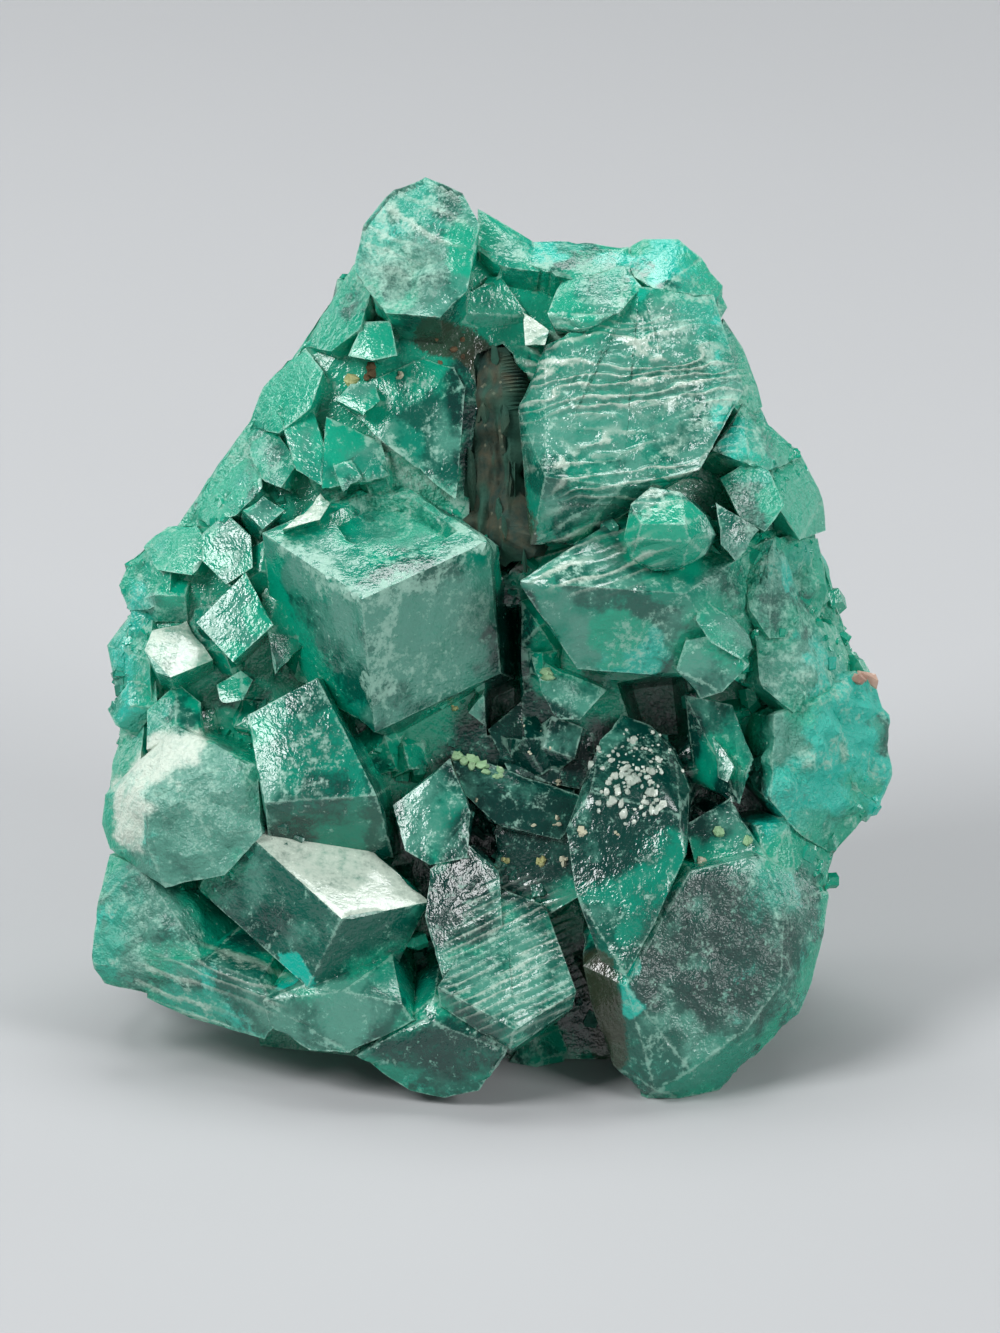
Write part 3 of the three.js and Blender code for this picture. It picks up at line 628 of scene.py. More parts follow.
@dataclass(frozen=True)
class DioptaseFinish:
    """Green crystal: glassy to satin, translucent at thin edges, with painted grey-green sheen, painted shade
    and glow, and a mint rim that is partly painted glow.

    Attributes:
        dark: Nearly black, laid on by the shade mask: painted shade between the crystals and in the lower
            middle, and crystals that are dark themselves.
        deep: Dark clouds in the crystal.
        emerald: Light clouds in it.
        painted_glow: Painted glow of light through the crystal, a clear bright green.
        painted_sheen: A grey-green painted sheen and light on faces, most on those that face up and forward.
        mint: The rim, partly its own paler colour and partly painted glow of back light through thin
            crystals.
        turquoise: Patches, most of them on the rim, where they are partly painted glow of back light.
        crust: Pale matter on worn edges and in patches.
        frost: Painted highlights: white faces that face the light, a white band and the crests of growth
            lines.
        stain: Brown stains beside the rock.
        light_path: What light is coloured to on its way through.
        light_path_density: How fast, for each metre.
        ior: The mean refractive index of dioptase.
        transmission: The share of light that passes the surface.
        bump_depth: Of the fine relief, in millimetres.
    """

    dark: Colour = (0.001, 0.034, 0.028)
    deep: Colour = (0.001, 0.105, 0.072)
    emerald: Colour = (0.001, 0.240, 0.155)
    painted_glow: Colour = (0.001, 0.355, 0.215)
    painted_sheen: Colour = (0.076, 0.300, 0.222)
    mint: Colour = (0.012, 0.365, 0.255)
    turquoise: Colour = (0.001, 0.500, 0.385)
    crust: Colour = (0.330, 0.590, 0.475)
    frost: Colour = (0.640, 0.750, 0.640)
    stain: Colour = (0.038, 0.044, 0.023)
    light_path: Colour = (0.02, 0.75, 0.55)
    light_path_density: float = 220.0
    ior: float = 1.66
    transmission: float = 0.15
    bump_depth: float = 0.08

    def material(self, effects: Effects) -> bpy.types.Material:
        """Builds the material.

        Args:
            effects: The shared groups.

        Returns:
            The material.
        """
        made = bpy.data.materials.new("dioptase_crystal")
        made.use_nodes = True
        bench = Bench(made.node_tree)
        shader = made.node_tree.nodes["Principled BSDF"]
        out = made.node_tree.nodes["Material Output"]

        def times(*shares: object) -> bpy.types.NodeSocket:
            """Multiplies masks and numbers.

            Args:
                shares: What is multiplied.

            Returns:
                The product.
            """
            product = shares[0]
            for share in shares[1:]:
                product = bench.maths("MULTIPLY", product, share)
            return product

        def total(*parts: object) -> bpy.types.NodeSocket:
            """Adds masks and numbers.

            Args:
                parts: What is added.

            Returns:
                The sum.
            """
            added = parts[0]
            for part in parts[1:]:
                added = bench.maths("ADD", added, part)
            return added

        even = {"Cover": 0.5, "Softness": 0.22}
        grain = bench.group(effects.mottle, {"Size": 0.42, "Shift": 64.0, **even})
        dust = bench.group(effects.mottle, {"Size": 0.14, "Shift": 43.0, **even})
        texture = total(times(grain, 0.9), times(dust, 0.6), -0.75)

        def broken(mask: object, rag: float, low: float, high: float) -> bpy.types.NodeSocket:
            """Returns a mask whose border is frayed by the fine texture."""
            return bench.span(total(mask, times(texture, rag)), low, high)

        def tinted(base: object, tint: Tint) -> bpy.types.NodeSocket:
            """Returns the colour with a tint laid over it."""
            cover = broken(bench.mask(tint.mask), tint.rag, tint.low, tint.high)
            return bench.blend(times(cover, tint.share), base, tint.colour)

        bare = bench.maths("SUBTRACT", 1.0, bench.mask("recess"), clamp=True)
        smooth = bench.mask("smooth")
        # Painted sheen and light: each face's share, the region's painted light and shade and the fine
        # texture, kept off the recesses.
        painted_sheen = total(times(bench.mask("tone"), 0.6), bench.mask("region"), times(texture, 0.5))
        colour = bench.blend(broken(bench.mask("clouds"), 0.5, 0.25, 0.75), self.deep, self.emerald)
        # Painted shade, nearly black, with some crystals that are dark themselves.
        colour = tinted(colour, Tint("shade", self.dark, 0.45, 0.1, 0.85, 0.95))
        colour = bench.blend(times(broken(painted_sheen, 0.0, 0.0, 1.0), bare), colour, self.painted_sheen)
        # The mint rim, partly painted glow of back light through thin outline crystals.
        colour = tinted(colour, Tint("mint", self.mint, 0.45, 0.1, 0.8, 0.9))
        colour = tinted(colour, Tint("turquoise", self.turquoise, 0.5, 0.2, 0.8, 0.9))
        # Painted glow of light through the crystal, in crevices, on the fused mass and on the glow spots.
        colour = tinted(colour, Tint("glow", self.painted_glow, 0.5, 0.1, 0.85, 0.95))
        specks = times(bench.group(effects.specks, {"Size": 0.5, "Radius": 0.16, "Share": 0.12}), 0.8)
        striae = bench.mask("striae")
        lines = bench.group(effects.growth_lines, {"Phase": bench.mask("phase")})
        # Painted highlights along the crests of the growth lines.
        crests = times(broken(lines, 0.5, 0.5, 1.0), striae, 0.8)
        worn = times(broken(bench.mask("edge"), 1.0, 0.55, 1.2), 0.55)
        crusted = times(broken(bench.mask("crust"), 1.2, 0.25, 1.15), 0.9)
        pale = bench.maths("MAXIMUM", bench.maths("MAXIMUM", crusted, worn), specks)
        colour = bench.blend(pale, colour, self.crust)
        # Painted highlights: whole faces that face the light, a white band and the growth-line crests.
        highlit = bench.maths("MAXIMUM", bench.mask("frost"), times(bench.mask("frost_band"), 0.9))
        white = bench.maths("MAXIMUM", crests, broken(highlit, 0.5, 0.15, 1.05))
        colour = bench.blend(white, colour, self.frost)
        colour = tinted(colour, Tint("stain", self.stain, 0.6, 0.35, 0.75, 0.85))
        coarse = bench.mask("coarse")
        rough = total(0.13, times(grain, 0.12), times(pale, 0.3), times(coarse, 0.35), times(smooth, -0.05))
        relief = bench.group(effects.fine_relief, {"Size": 0.3})
        uneven = total(0.8, times(smooth, -0.6), times(coarse, 2.0))
        height = total(times(relief, uneven), times(lines, striae, 1.5))
        bump = bench.add("Bump", {"Height": height, "Strength": 0.8, "Distance": self.bump_depth * MM})
        bench.put(shader.inputs["Base Color"], colour)
        bench.put(shader.inputs["Roughness"], rough)
        bench.put(shader.inputs["Normal"], bump.outputs[0])
        shader.inputs["IOR"].default_value = self.ior
        shader.inputs["Transmission Weight"].default_value = self.transmission
        volume = bench.add("VolumeAbsorption")
        volume.inputs["Color"].default_value = (*self.light_path, 1.0)
        volume.inputs["Density"].default_value = self.light_path_density
        bench.put(out.inputs["Volume"], volume.outputs[0])
        return made


@dataclass(frozen=True)
class RockFinish:
    """Dull, rough, patchy mineral matter.

    Attributes:
        name: The material's name.
        dark: Its darker patches.
        light: Its lighter patches.
        speck: Its specks.
        roughness: Of its surface.
        streak: Green matter, where a mesh has a streak mask.
        bump_depth: Of the fine relief, in millimetres.
    """

    name: str
    dark: Colour
    light: Colour
    speck: Colour
    roughness: float = 0.85
    streak: Colour = (0.016, 0.085, 0.056)
    bump_depth: float = 0.06

    def material(self, effects: Effects) -> bpy.types.Material:
        """Builds the material.

        Args:
            effects: The shared groups.

        Returns:
            The material.
        """
        made = bpy.data.materials.new(self.name)
        made.use_nodes = True
        bench = Bench(made.node_tree)
        shader = made.node_tree.nodes["Principled BSDF"]
        patches = bench.group(effects.mottle, {"Size": 0.8, "Cover": 0.5, "Softness": 0.15, "Shift": 3.0})
        specks = bench.group(effects.specks, {"Size": 0.35, "Radius": 0.28, "Share": 0.3})
        colour = bench.blend(patches, self.dark, self.light)
        colour = bench.blend(bench.maths("MULTIPLY", specks, 0.8), colour, self.speck)
        colour = bench.blend(bench.mask("streak"), colour, self.streak)
        height = bench.group(effects.fine_relief, {"Size": 0.25})
        bump = bench.add("Bump", {"Height": height, "Strength": 0.7, "Distance": self.bump_depth * MM})
        bench.put(shader.inputs["Base Color"], colour)
        bench.put(shader.inputs["Normal"], bump.outputs[0])
        shader.inputs["Roughness"].default_value = self.roughness
        return made


class GrainKind(Enum):
    """The loose minerals that sit on the crystals."""

    CREAM = RockFinish("cream_grain", (0.40, 0.39, 0.27), (0.62, 0.62, 0.47), (0.75, 0.75, 0.62))
    YELLOW = RockFinish("yellow_grain", (0.36, 0.36, 0.14), (0.56, 0.58, 0.28), (0.70, 0.72, 0.48), 0.6)
    LEAF = RockFinish("leaf_green_grain", (0.16, 0.34, 0.16), (0.36, 0.56, 0.32), (0.60, 0.72, 0.50), 0.7)
    RUST = RockFinish("rust_grain", (0.060, 0.038, 0.018), (0.15, 0.090, 0.040), (0.22, 0.15, 0.08))
    SPARKLE = RockFinish("sparkling_grain", (0.36, 0.44, 0.38), (0.66, 0.72, 0.63), (0.82, 0.86, 0.78), 0.18)
    PINK = RockFinish("pink_grain", (0.34, 0.20, 0.15), (0.52, 0.36, 0.28), (0.66, 0.52, 0.44))


# Sub-assemblies


@dataclass(frozen=True)
class Spot:
    """A soft-edged patch of the face: its middle, its half width and half height, and its strength."""

    x: float
    h: float
    wide: float
    tall: float
    strength: float = 1.0

    def cover(self, places: Array) -> Array:
        """Returns the strength in the middle of the patch, fading to nothing at its edge."""
        away = ((places[:, 0] - self.x) / self.wide) ** 2 + ((places[:, 1] - self.h) / self.tall) ** 2
        return self.strength * (1.0 - ease(away, 0.35, 1.25))


@dataclass(frozen=True)
class GrowthLines:
    """Parallel growth lines over one patch of the face.

    Attributes:
        patch: Where they lie, and how strong they are.
        along: The lines' direction in x and h.
        pitch: From line to line.
        wander: How far a line strays from straight.
    """

    patch: Spot
    along: tuple[float, float]
    pitch: float
    wander: float


@dataclass
class Cluster:
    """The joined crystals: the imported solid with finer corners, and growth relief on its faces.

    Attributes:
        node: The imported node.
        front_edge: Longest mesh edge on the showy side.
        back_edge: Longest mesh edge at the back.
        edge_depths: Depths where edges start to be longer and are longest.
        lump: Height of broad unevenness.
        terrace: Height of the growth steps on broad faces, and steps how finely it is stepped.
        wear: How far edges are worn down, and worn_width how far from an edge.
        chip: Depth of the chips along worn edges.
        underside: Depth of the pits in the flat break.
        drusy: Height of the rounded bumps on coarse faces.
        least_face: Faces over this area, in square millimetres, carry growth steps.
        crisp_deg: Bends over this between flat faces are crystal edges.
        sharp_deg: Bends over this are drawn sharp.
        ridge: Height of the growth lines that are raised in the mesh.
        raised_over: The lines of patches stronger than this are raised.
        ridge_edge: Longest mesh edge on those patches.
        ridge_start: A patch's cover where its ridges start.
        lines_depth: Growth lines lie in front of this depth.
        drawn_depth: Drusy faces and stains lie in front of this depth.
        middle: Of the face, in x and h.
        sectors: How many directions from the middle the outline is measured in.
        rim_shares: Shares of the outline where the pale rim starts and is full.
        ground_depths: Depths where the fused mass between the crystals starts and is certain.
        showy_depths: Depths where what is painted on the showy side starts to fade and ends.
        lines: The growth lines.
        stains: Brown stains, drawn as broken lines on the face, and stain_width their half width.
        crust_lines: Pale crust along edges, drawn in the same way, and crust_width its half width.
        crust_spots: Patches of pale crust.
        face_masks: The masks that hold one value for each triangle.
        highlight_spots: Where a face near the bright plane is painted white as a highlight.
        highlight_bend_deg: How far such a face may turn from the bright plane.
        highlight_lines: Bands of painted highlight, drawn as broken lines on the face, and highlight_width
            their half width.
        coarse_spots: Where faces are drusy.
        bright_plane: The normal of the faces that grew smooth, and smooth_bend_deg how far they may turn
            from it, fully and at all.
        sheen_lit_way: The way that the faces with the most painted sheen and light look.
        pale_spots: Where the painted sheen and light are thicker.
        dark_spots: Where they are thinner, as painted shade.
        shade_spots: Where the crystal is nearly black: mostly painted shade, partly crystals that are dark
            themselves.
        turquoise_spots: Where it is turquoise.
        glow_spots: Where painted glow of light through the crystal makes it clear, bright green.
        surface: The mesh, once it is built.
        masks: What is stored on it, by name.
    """

    node: str = "dioptase_cluster"
    front_edge: float = 0.42
    back_edge: float = 1.0
    edge_depths: tuple[float, float] = (7.0, 11.0)
    lump: float = 0.065
    terrace: float = 0.07
    steps: float = 4.0
    wear: float = 0.02
    worn_width: float = 0.16
    chip: float = 0.11
    underside: float = 0.1
    drusy: float = 0.70
    least_face: float = 2.0
    ridge: float = 0.13
    raised_over: float = 0.8
    ridge_edge: float = 0.24
    ridge_start: float = 0.06
    lines_depth: float = 8.0
    drawn_depth: float = 9.0
    middle: tuple[float, float] = (-0.3, 16.5)
    sectors: int = 90
    rim_shares: tuple[float, float] = (0.80, 1.0)
    ground_depths: tuple[float, float] = (6.05, 6.4)
    showy_depths: tuple[float, float] = (7.5, 10.0)
    crisp_deg: float = 14.0
    sharp_deg: float = 24.0
    lines: Sequence[GrowthLines] = (
        GrowthLines(Spot(5.0, 27.6, 5.2, 4.2, 1.0), (1.0, 0.10), 0.60, 0.85),
        GrowthLines(Spot(3.4, 22.0, 3.4, 1.8, 0.9), (0.90, 0.34), 0.60, 0.25),
        GrowthLines(Spot(0.6, 5.6, 3.0, 3.4, 0.75), (0.91, 0.41), 0.34, 0.06),
        GrowthLines(Spot(-11.6, 4.6, 3.4, 1.8, 0.6), (0.93, -0.36), 0.60, 0.25),
        GrowthLines(Spot(-3.6, 35.2, 2.4, 2.4, 0.5), (0.95, -0.30), 0.80, 0.40),
    )
    stains: Sequence[Sequence[tuple[float, float]]] = (
        ((-2.8, 30.6), (-1.4, 30.3), (-0.4, 29.4), (0.0, 27.0), (0.3, 24.4), (0.9, 21.8)),
        ((3.9, 5.4), (4.2, 3.4), (4.4, 1.8)),
    )
    stain_width: float = 1.1
    crust_lines: Sequence[Sequence[tuple[float, float]]] = (
        ((-9.2, 22.6), (-4.6, 20.0), (-0.4, 22.4)),
        ((-5.2, 26.3), (-2.6, 24.4), (-0.4, 22.4)),
        ((-4.6, 20.0), (-4.2, 16.6)),
    )
    crust_width: float = 0.75
    crust_spots: Sequence[Spot] = (
        Spot(5.8, 18.6, 1.6, 1.4, 0.50),
        Spot(-4.3, 32.9, 1.9, 1.4, 0.70),
        Spot(-12.6, 12.6, 2.6, 2.6, 0.45),
        Spot(12.6, 17.6, 2.2, 2.6, 0.50),
        Spot(7.2, 7.8, 1.2, 1.0, 0.30),
        Spot(-13.0, 19.0, 2.6, 2.0, 0.35),
        Spot(10.4, 21.0, 2.0, 2.0, 0.35),
        Spot(6.7, 23.3, 0.9, 0.5, 0.70),
        Spot(5.7, 4.2, 0.6, 0.9, 0.60),
        Spot(-2.6, 17.4, 1.6, 1.6, 0.42),
        Spot(-1.4, 19.2, 1.0, 1.0, 0.38),
        Spot(0.6, 5.8, 2.2, 2.2, 0.36),
        Spot(-4.8, 23.9, 2.4, 0.9, 0.45),
    )
    face_masks: Sequence[str] = ("tone", "smooth", "frost")
    highlight_spots: Sequence[Spot] = (
        Spot(-13.0, 18.1, 1.3, 1.0, 0.7),
        Spot(-6.2, 9.0, 1.0, 1.0, 0.85),
        Spot(-7.6, 23.4, 0.9, 0.8, 0.8),
        Spot(1.3, 30.9, 0.7, 0.7, 0.8),
    )
    highlight_bend_deg: float = 34.0
    highlight_lines: Sequence[Sequence[tuple[float, float]]] = (
        ((-14.7, 10.6), (-14.6, 12.4), (-13.5, 14.0), (-12.2, 14.2)),
    )
    highlight_width: float = 1.25
    coarse_spots: Sequence[Spot] = (
        Spot(-12.6, 11.5, 3.4, 3.4, 0.7),
        Spot(12.9, 14.0, 3.4, 4.2, 1.0),
        Spot(11.0, 20.2, 2.8, 3.4, 1.0),
        Spot(9.0, 5.6, 3.6, 3.8, 0.5),
        Spot(-14.6, 6.6, 2.4, 2.8, 0.6),
        Spot(-4.3, 32.9, 2.3, 1.8, 1.0),
        Spot(-4.2, 24.1, 2.8, 1.5, 1.0),
    )
    bright_plane: tuple[float, float, float] = (0.193, 0.694, -0.70)
    smooth_bend_deg: tuple[float, float] = (6.0, 16.0)
    sheen_lit_way: tuple[float, float, float] = (0.1, 0.62, -0.78)
    pale_spots: Sequence[Spot] = (
        Spot(-3.5, 34.0, 3.2, 3.4, 0.30),
        Spot(5.0, 28.0, 5.0, 5.0, 0.20),
        Spot(8.6, 18.2, 2.0, 2.4, 0.45),
        Spot(-12.6, 11.5, 3.4, 3.4, 0.80),
        Spot(-14.6, 6.6, 2.4, 2.8, 0.40),
        Spot(-2.6, 11.6, 1.6, 2.2, 0.25),
        Spot(0.6, 5.8, 2.4, 2.6, 0.55),
        Spot(-6.6, 3.4, 2.6, 1.4, 0.45),
        Spot(2.6, 16.6, 1.6, 1.4, 0.35),
        Spot(-2.0, 18.4, 2.8, 2.8, 0.85),
        Spot(-6.8, 19.2, 2.0, 2.4, 0.70),
        Spot(3.0, 19.5, 2.2, 1.8, 0.30),
    )
    dark_spots: Sequence[Spot] = (
        Spot(5.6, 12.4, 2.2, 3.4, 0.30),
        Spot(-7.2, 14.2, 2.6, 3.2, 1.10),
        Spot(9.0, 5.0, 4.0, 4.2, 0.15),
        Spot(-9.6, 6.6, 3.0, 2.6, 0.20),
        Spot(6.4, 9.4, 2.0, 2.4, 0.20),
    )
    shade_spots: Sequence[Spot] = (
        Spot(0.6, 14.0, 3.8, 2.4),
        Spot(1.6, 10.2, 4.6, 2.6),
        Spot(5.6, 13.2, 2.4, 2.6, 0.9),
        Spot(8.8, 11.6, 2.6, 1.6),
        Spot(-1.6, 8.0, 1.8, 2.4, 0.8),
        Spot(-2.2, 2.0, 3.6, 1.8, 0.7),
        Spot(3.6, 4.4, 1.0, 3.2, 0.9),
        Spot(7.0, 15.2, 1.4, 1.8),
        Spot(0.4, 18.0, 1.0, 3.4, 0.9),
        Spot(-10.4, 7.4, 2.2, 1.6, 0.6),
        Spot(-8.6, 10.6, 1.6, 1.2, 0.7),
        Spot(-7.0, 12.4, 1.8, 1.2, 0.6),
        Spot(-7.6, 15.0, 1.8, 1.8, 0.4),
        Spot(8.6, 6.0, 3.4, 3.6, 0.70),
        Spot(-0.9, 27.8, 0.8, 3.6, 0.8),
    )
    turquoise_spots: Sequence[Spot] = (
        Spot(6.6, 34.1, 2.4, 1.3, 1.2),
        Spot(-15.6, 18.6, 1.2, 2.6, 0.8),
        Spot(5.6, 18.0, 1.6, 1.2, 0.7),
        Spot(12.2, 12.4, 1.6, 1.4, 0.7),
        Spot(5.7, 4.0, 0.8, 1.2, 1.6),
        Spot(-8.3, 4.9, 0.7, 0.5, 1.5),
    )
    glow_spots: Sequence[Spot] = (
        Spot(-3.6, 24.1, 2.4, 1.2, 0.7),
        Spot(12.0, 24.4, 1.6, 1.8),
        Spot(11.4, 10.0, 1.2, 1.0),
        Spot(-11.6, 24.2, 1.3, 1.0),
        Spot(6.7, 22.3, 2.3, 1.6),
        Spot(-8.6, 28.6, 1.6, 2.0, 1.2),
        Spot(-6.7, 30.4, 2.2, 1.4, 1.3),
        Spot(-5.8, 27.2, 1.6, 1.4, 0.9),
        Spot(-4.9, 32.2, 1.2, 0.8, 0.9),
        Spot(-11.3, 17.2, 1.8, 1.4, 1.3),
        Spot(-10.9, 14.8, 1.6, 0.9, 1.2),
        Spot(-9.3, 20.1, 0.9, 1.8, 1.1),
        Spot(-12.5, 21.6, 2.0, 1.5, 1.2),
        Spot(-1.0, 33.6, 1.5, 1.5, 1.2),
        Spot(2.8, 31.6, 1.6, 0.8),
        Spot(4.9, 18.8, 1.4, 1.2),
    )
    surface: Surface = field(init=False)
    masks: dict[str, Array] = field(init=False, default_factory=dict)

    def build(self) -> bpy.types.Object:
        """Makes the mesh and its masks.

        Returns:
            The object that replaces the node.
        """
        self.surface = Surface.from_node(self.node)
        self.surface.refine(self.longest_edge)
        self.shape()
        made = self.surface.to_object("crystal_cluster", self.sharp_deg)
        for name, values in self.masks.items():
            set_mask(made, name, values, "FACE" if name in self.face_masks else "POINT")
        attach(made, BODY)
        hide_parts(self.node)
        return made

    def longest_edge(self, places: Array) -> Array:
        """Sets how fine the mesh is.

        Args:
            places: The middles of edges.

        Returns:
            The longest edge allowed at each place: short in front, longer behind.
        """
        limit = self.front_edge + (self.back_edge - self.front_edge) * ease(places[:, 2], *self.edge_depths)
        for line in self.raised_lines():
            ridged = (line.patch.cover(places) > self.ridge_start) & (places[:, 2] < self.lines_depth)
            limit = np.where(ridged, self.ridge_edge, limit)
        return limit

    def raised_lines(self) -> list[GrowthLines]:
        """Returns the growth lines that stand up in the mesh."""
        return [line for line in self.lines if line.patch.strength > self.raised_over]

    def shape(self) -> None:
        """Raises growth relief, wears the edges and stores the masks."""
        surface = self.surface
        normals = surface.corner_normals()
        convex, concave = self.edge_distances()
        points = surface.points
        noise = Noise(4)
        clear = ease(np.minimum(convex, concave), 0.05, 0.9)
        uneven = self.lump * noise.layered(points / 2.6) * (0.4 + 0.6 * clear)
        uneven += 0.5 * self.lump * noise.layered(points / 0.8) * (0.3 + 0.7 * clear)
        uneven += self.terraces(noise) * clear
        coarse = np.clip(sum(spot.cover(points) for spot in self.coarse_spots), 0.0, 1.0)
        coarse *= points[:, 2] < self.drawn_depth
        bumps = (0.5 - noise.nearest(points / 1.4)) + 0.55 * (0.5 - noise.nearest(points / 0.7 + 31.0))
        uneven += self.drusy * coarse * bumps * (0.4 + 0.6 * clear)
        phase, striae = self.draw_lines(points, normals, noise)
        share = phase - np.floor(phase)
        crest = np.minimum(share / RIDGE_LEAN, (1.0 - share) / (1.0 - RIDGE_LEAN))
        wide = np.zeros(len(points))
        for line in self.raised_lines():
            wide = np.maximum(wide, ease(line.patch.cover(points), self.ridge_start, 0.3))
        uneven += self.ridge * striae * wide * (crest - 0.5) * clear
        smooth = np.zeros(len(points))
        np.maximum.at(smooth, surface.triangles.reshape(-1), np.repeat(self.smooth_faces()[surface.faces], 3))
        lift = uneven * (1.0 - 0.75 * smooth)
        worn = np.exp(-((convex / self.worn_width) ** 2))
        chips = ease(noise.layered(points / 1.1 + 40.0), 0.15, 0.7)
        lift -= worn * (self.wear + self.chip * chips)
        height = FACE.to_row(points)[:, 2] / MM
        downward = normals @ (FACE.axes() @ np.array([0.0, 0.0, -1.0])) > 0.9
        rough_break = np.where(downward, -self.underside * clear * (1.0 + noise.smooth(points)), 0.0)
        lift = np.where(height < 0.05, rough_break, lift)
        surface.points = points + normals * lift[:, None]
        self.masks["phase"], self.masks["striae"] = phase, striae
        self.store_masks(points, normals, convex, concave, noise)

    def edge_distances(self) -> tuple[Array, Array]:
        """Measures each corner's distance to the nearest crisp edge.

        Returns:
            The distance to the nearest outer edge and to the nearest inner one.
        """
        surface = self.surface
        normals = unit(surface.triangle_normals())
        centres = surface.points[surface.triangles].mean(axis=1)
        pairs, sides = surface.edge_sides()
        a, b = sides.T
        bend = np.degrees(np.arccos(np.clip((normals[a] * normals[b]).sum(axis=1), -1.0, 1.0)))
        outer = ((centres[b] - centres[a]) * normals[a]).sum(axis=1) < 0.0
        crisp = (surface.faces[a] != surface.faces[b]) & (bend > self.crisp_deg)
        return tuple(self.distance_to(np.unique(pairs[crisp & kind])) for kind in (outer, ~outer))

    def distance_to(self, chosen: Array) -> Array:
        """Measures how far each corner is from chosen ones.

        Args:
            chosen: The numbers of the chosen corners.

        Returns:
            The distance to the nearest of them.
        """
        tree = KDTree(len(chosen))
        for number, place in enumerate(self.surface.points[chosen]):
            tree.insert(place, number)
        tree.balance()
        return np.array([tree.find(place)[2] for place in self.surface.points])

    def terraces(self, noise: Noise) -> Array:
        """Lays out growth steps anew on every broad flat face.

        Args:
            noise: Draws the steps.

        Returns:
            Their height at each corner.
        """
        surface = self.surface
        areas = np.linalg.norm(surface.triangle_normals(), axis=1) / 2.0
        face_area = np.bincount(surface.faces, areas)
        face_normal = np.stack(
            [np.bincount(surface.faces, surface.triangle_normals()[:, k]) for k in range(3)], axis=1
        )
        across = unit(np.cross(unit(face_normal), [0.31, 0.22, 0.92]))
        up = np.cross(unit(face_normal), across)
        of_point = np.zeros(len(surface.points), int)
        of_point[surface.triangles.reshape(-1)] = np.repeat(surface.faces, 3)
        u = (surface.points * across[of_point]).sum(axis=1)
        v = (surface.points * up[of_point]).sum(axis=1)
        field_at = noise.layered(np.stack([u / 3.4, v / 1.5, of_point * 3.7], axis=1), 3)
        steps = self.steps * field_at
        level = np.floor(steps) + ease(steps - np.floor(steps), 0.3, 0.7)
        broad = ease(face_area[of_point], self.least_face, 4.0 * self.least_face)
        return self.terrace * broad * level / self.steps

    def draw_lines(self, points: Array, normals: Array, noise: Noise) -> tuple[Array, Array]:
        """Lays out the growth lines.

        Args:
            points: Corner places before the relief.
            normals: Corner normals before the relief.
            noise: Makes the lines stray and breaks them up.

        Returns:
            How many lines lie below each corner, whose fraction is the way from one to the next, and how
            strong they are there.
        """
        phase = np.zeros(len(points))
        strength = np.zeros(len(points))
        for line in self.lines:
            along = unit(np.array(line.along))
            run = points[:, :2] @ along
            cross = points[:, :2] @ np.array([-along[1], along[0]])
            spans = np.array([5.0 * line.pitch, 1.6 * line.pitch, 4.0])
            cells = np.stack([run, cross, points[:, 2]], axis=1) / spans
            here = line.patch.cover(points) * ease(-normals[:, 2], 0.15, 0.45)
            here = here * (points[:, 2] < self.lines_depth)
            broken = 0.1 + 0.9 * ease(noise.smooth(cells * 1.3 + 77.0), -0.7, 0.3)
            stray = line.wander * noise.layered(cells + 9.0)
            # The whole number keeps the count above zero on the whole face.
            phase = np.where(here > strength, 50.0 + (cross + stray) / line.pitch, phase)
            strength = np.maximum(strength, here * broken)
        return phase, strength

    def store_masks(self, points: Array, normals: Array, convex: Array, concave: Array, noise: Noise) -> None:
        """Keeps what the finish reads: the rim, worn edges, hollows, painted glow, shade, sheen and
        highlights, and each face's tone, partly painted light.

        Args:
            points: Corner places before the relief.
            normals: Corner normals before the relief.
            convex: Distance to the nearest outer edge.
            concave: Distance to the nearest inner edge.
            noise: Breaks the masks up.
        """
        away = points[:, :2] - np.array(self.middle)
        angle = np.arctan2(away[:, 1], away[:, 0]) / (2 * math.pi) + 1.0
        turn = (angle * self.sectors).astype(int) % self.sectors
        far = np.zeros(self.sectors)
        np.maximum.at(far, turn, np.linalg.norm(away, axis=1))
        # A narrow notch in the outline takes its neighbours' reach.
        far = np.maximum(far, np.maximum(np.roll(far, 1), np.roll(far, -1)) * 0.97)
        reach = np.linalg.norm(away, axis=1) / far[turn]
        # The pale rim is wider at the right, and weaker along the foot but for its left end.
        right = 0.14 * ease(points[:, 0], 7.0, 11.0)
        rim = ease(reach + right + 0.06 * noise.layered(points / 1.5), *self.rim_shares)
        rim *= 1.0 - 0.7 * (1.0 - ease(points[:, 1], 6.0, 12.0)) * ease(points[:, 0], -12.0, -8.0)
        front = 1.0 - ease(points[:, 2], *self.showy_depths)
        stray = points.copy()
        stray[:, :2] += 0.8 * np.stack([noise.layered(points / 1.4 + k) for k in (3.0, 8.0)], axis=1)

        def patch(size: float, edge: float, shift: float) -> Array:
            """Returns cloudy patches: the lower the edge, the more they cover."""
            return ease(noise.layered(points / size + shift), edge - 0.25, edge + 0.25)

        def spotted(spots: Sequence[Spot]) -> Array:
            """Returns the cover of all the spots together."""
            return sum(spot.cover(stray) for spot in spots) * front

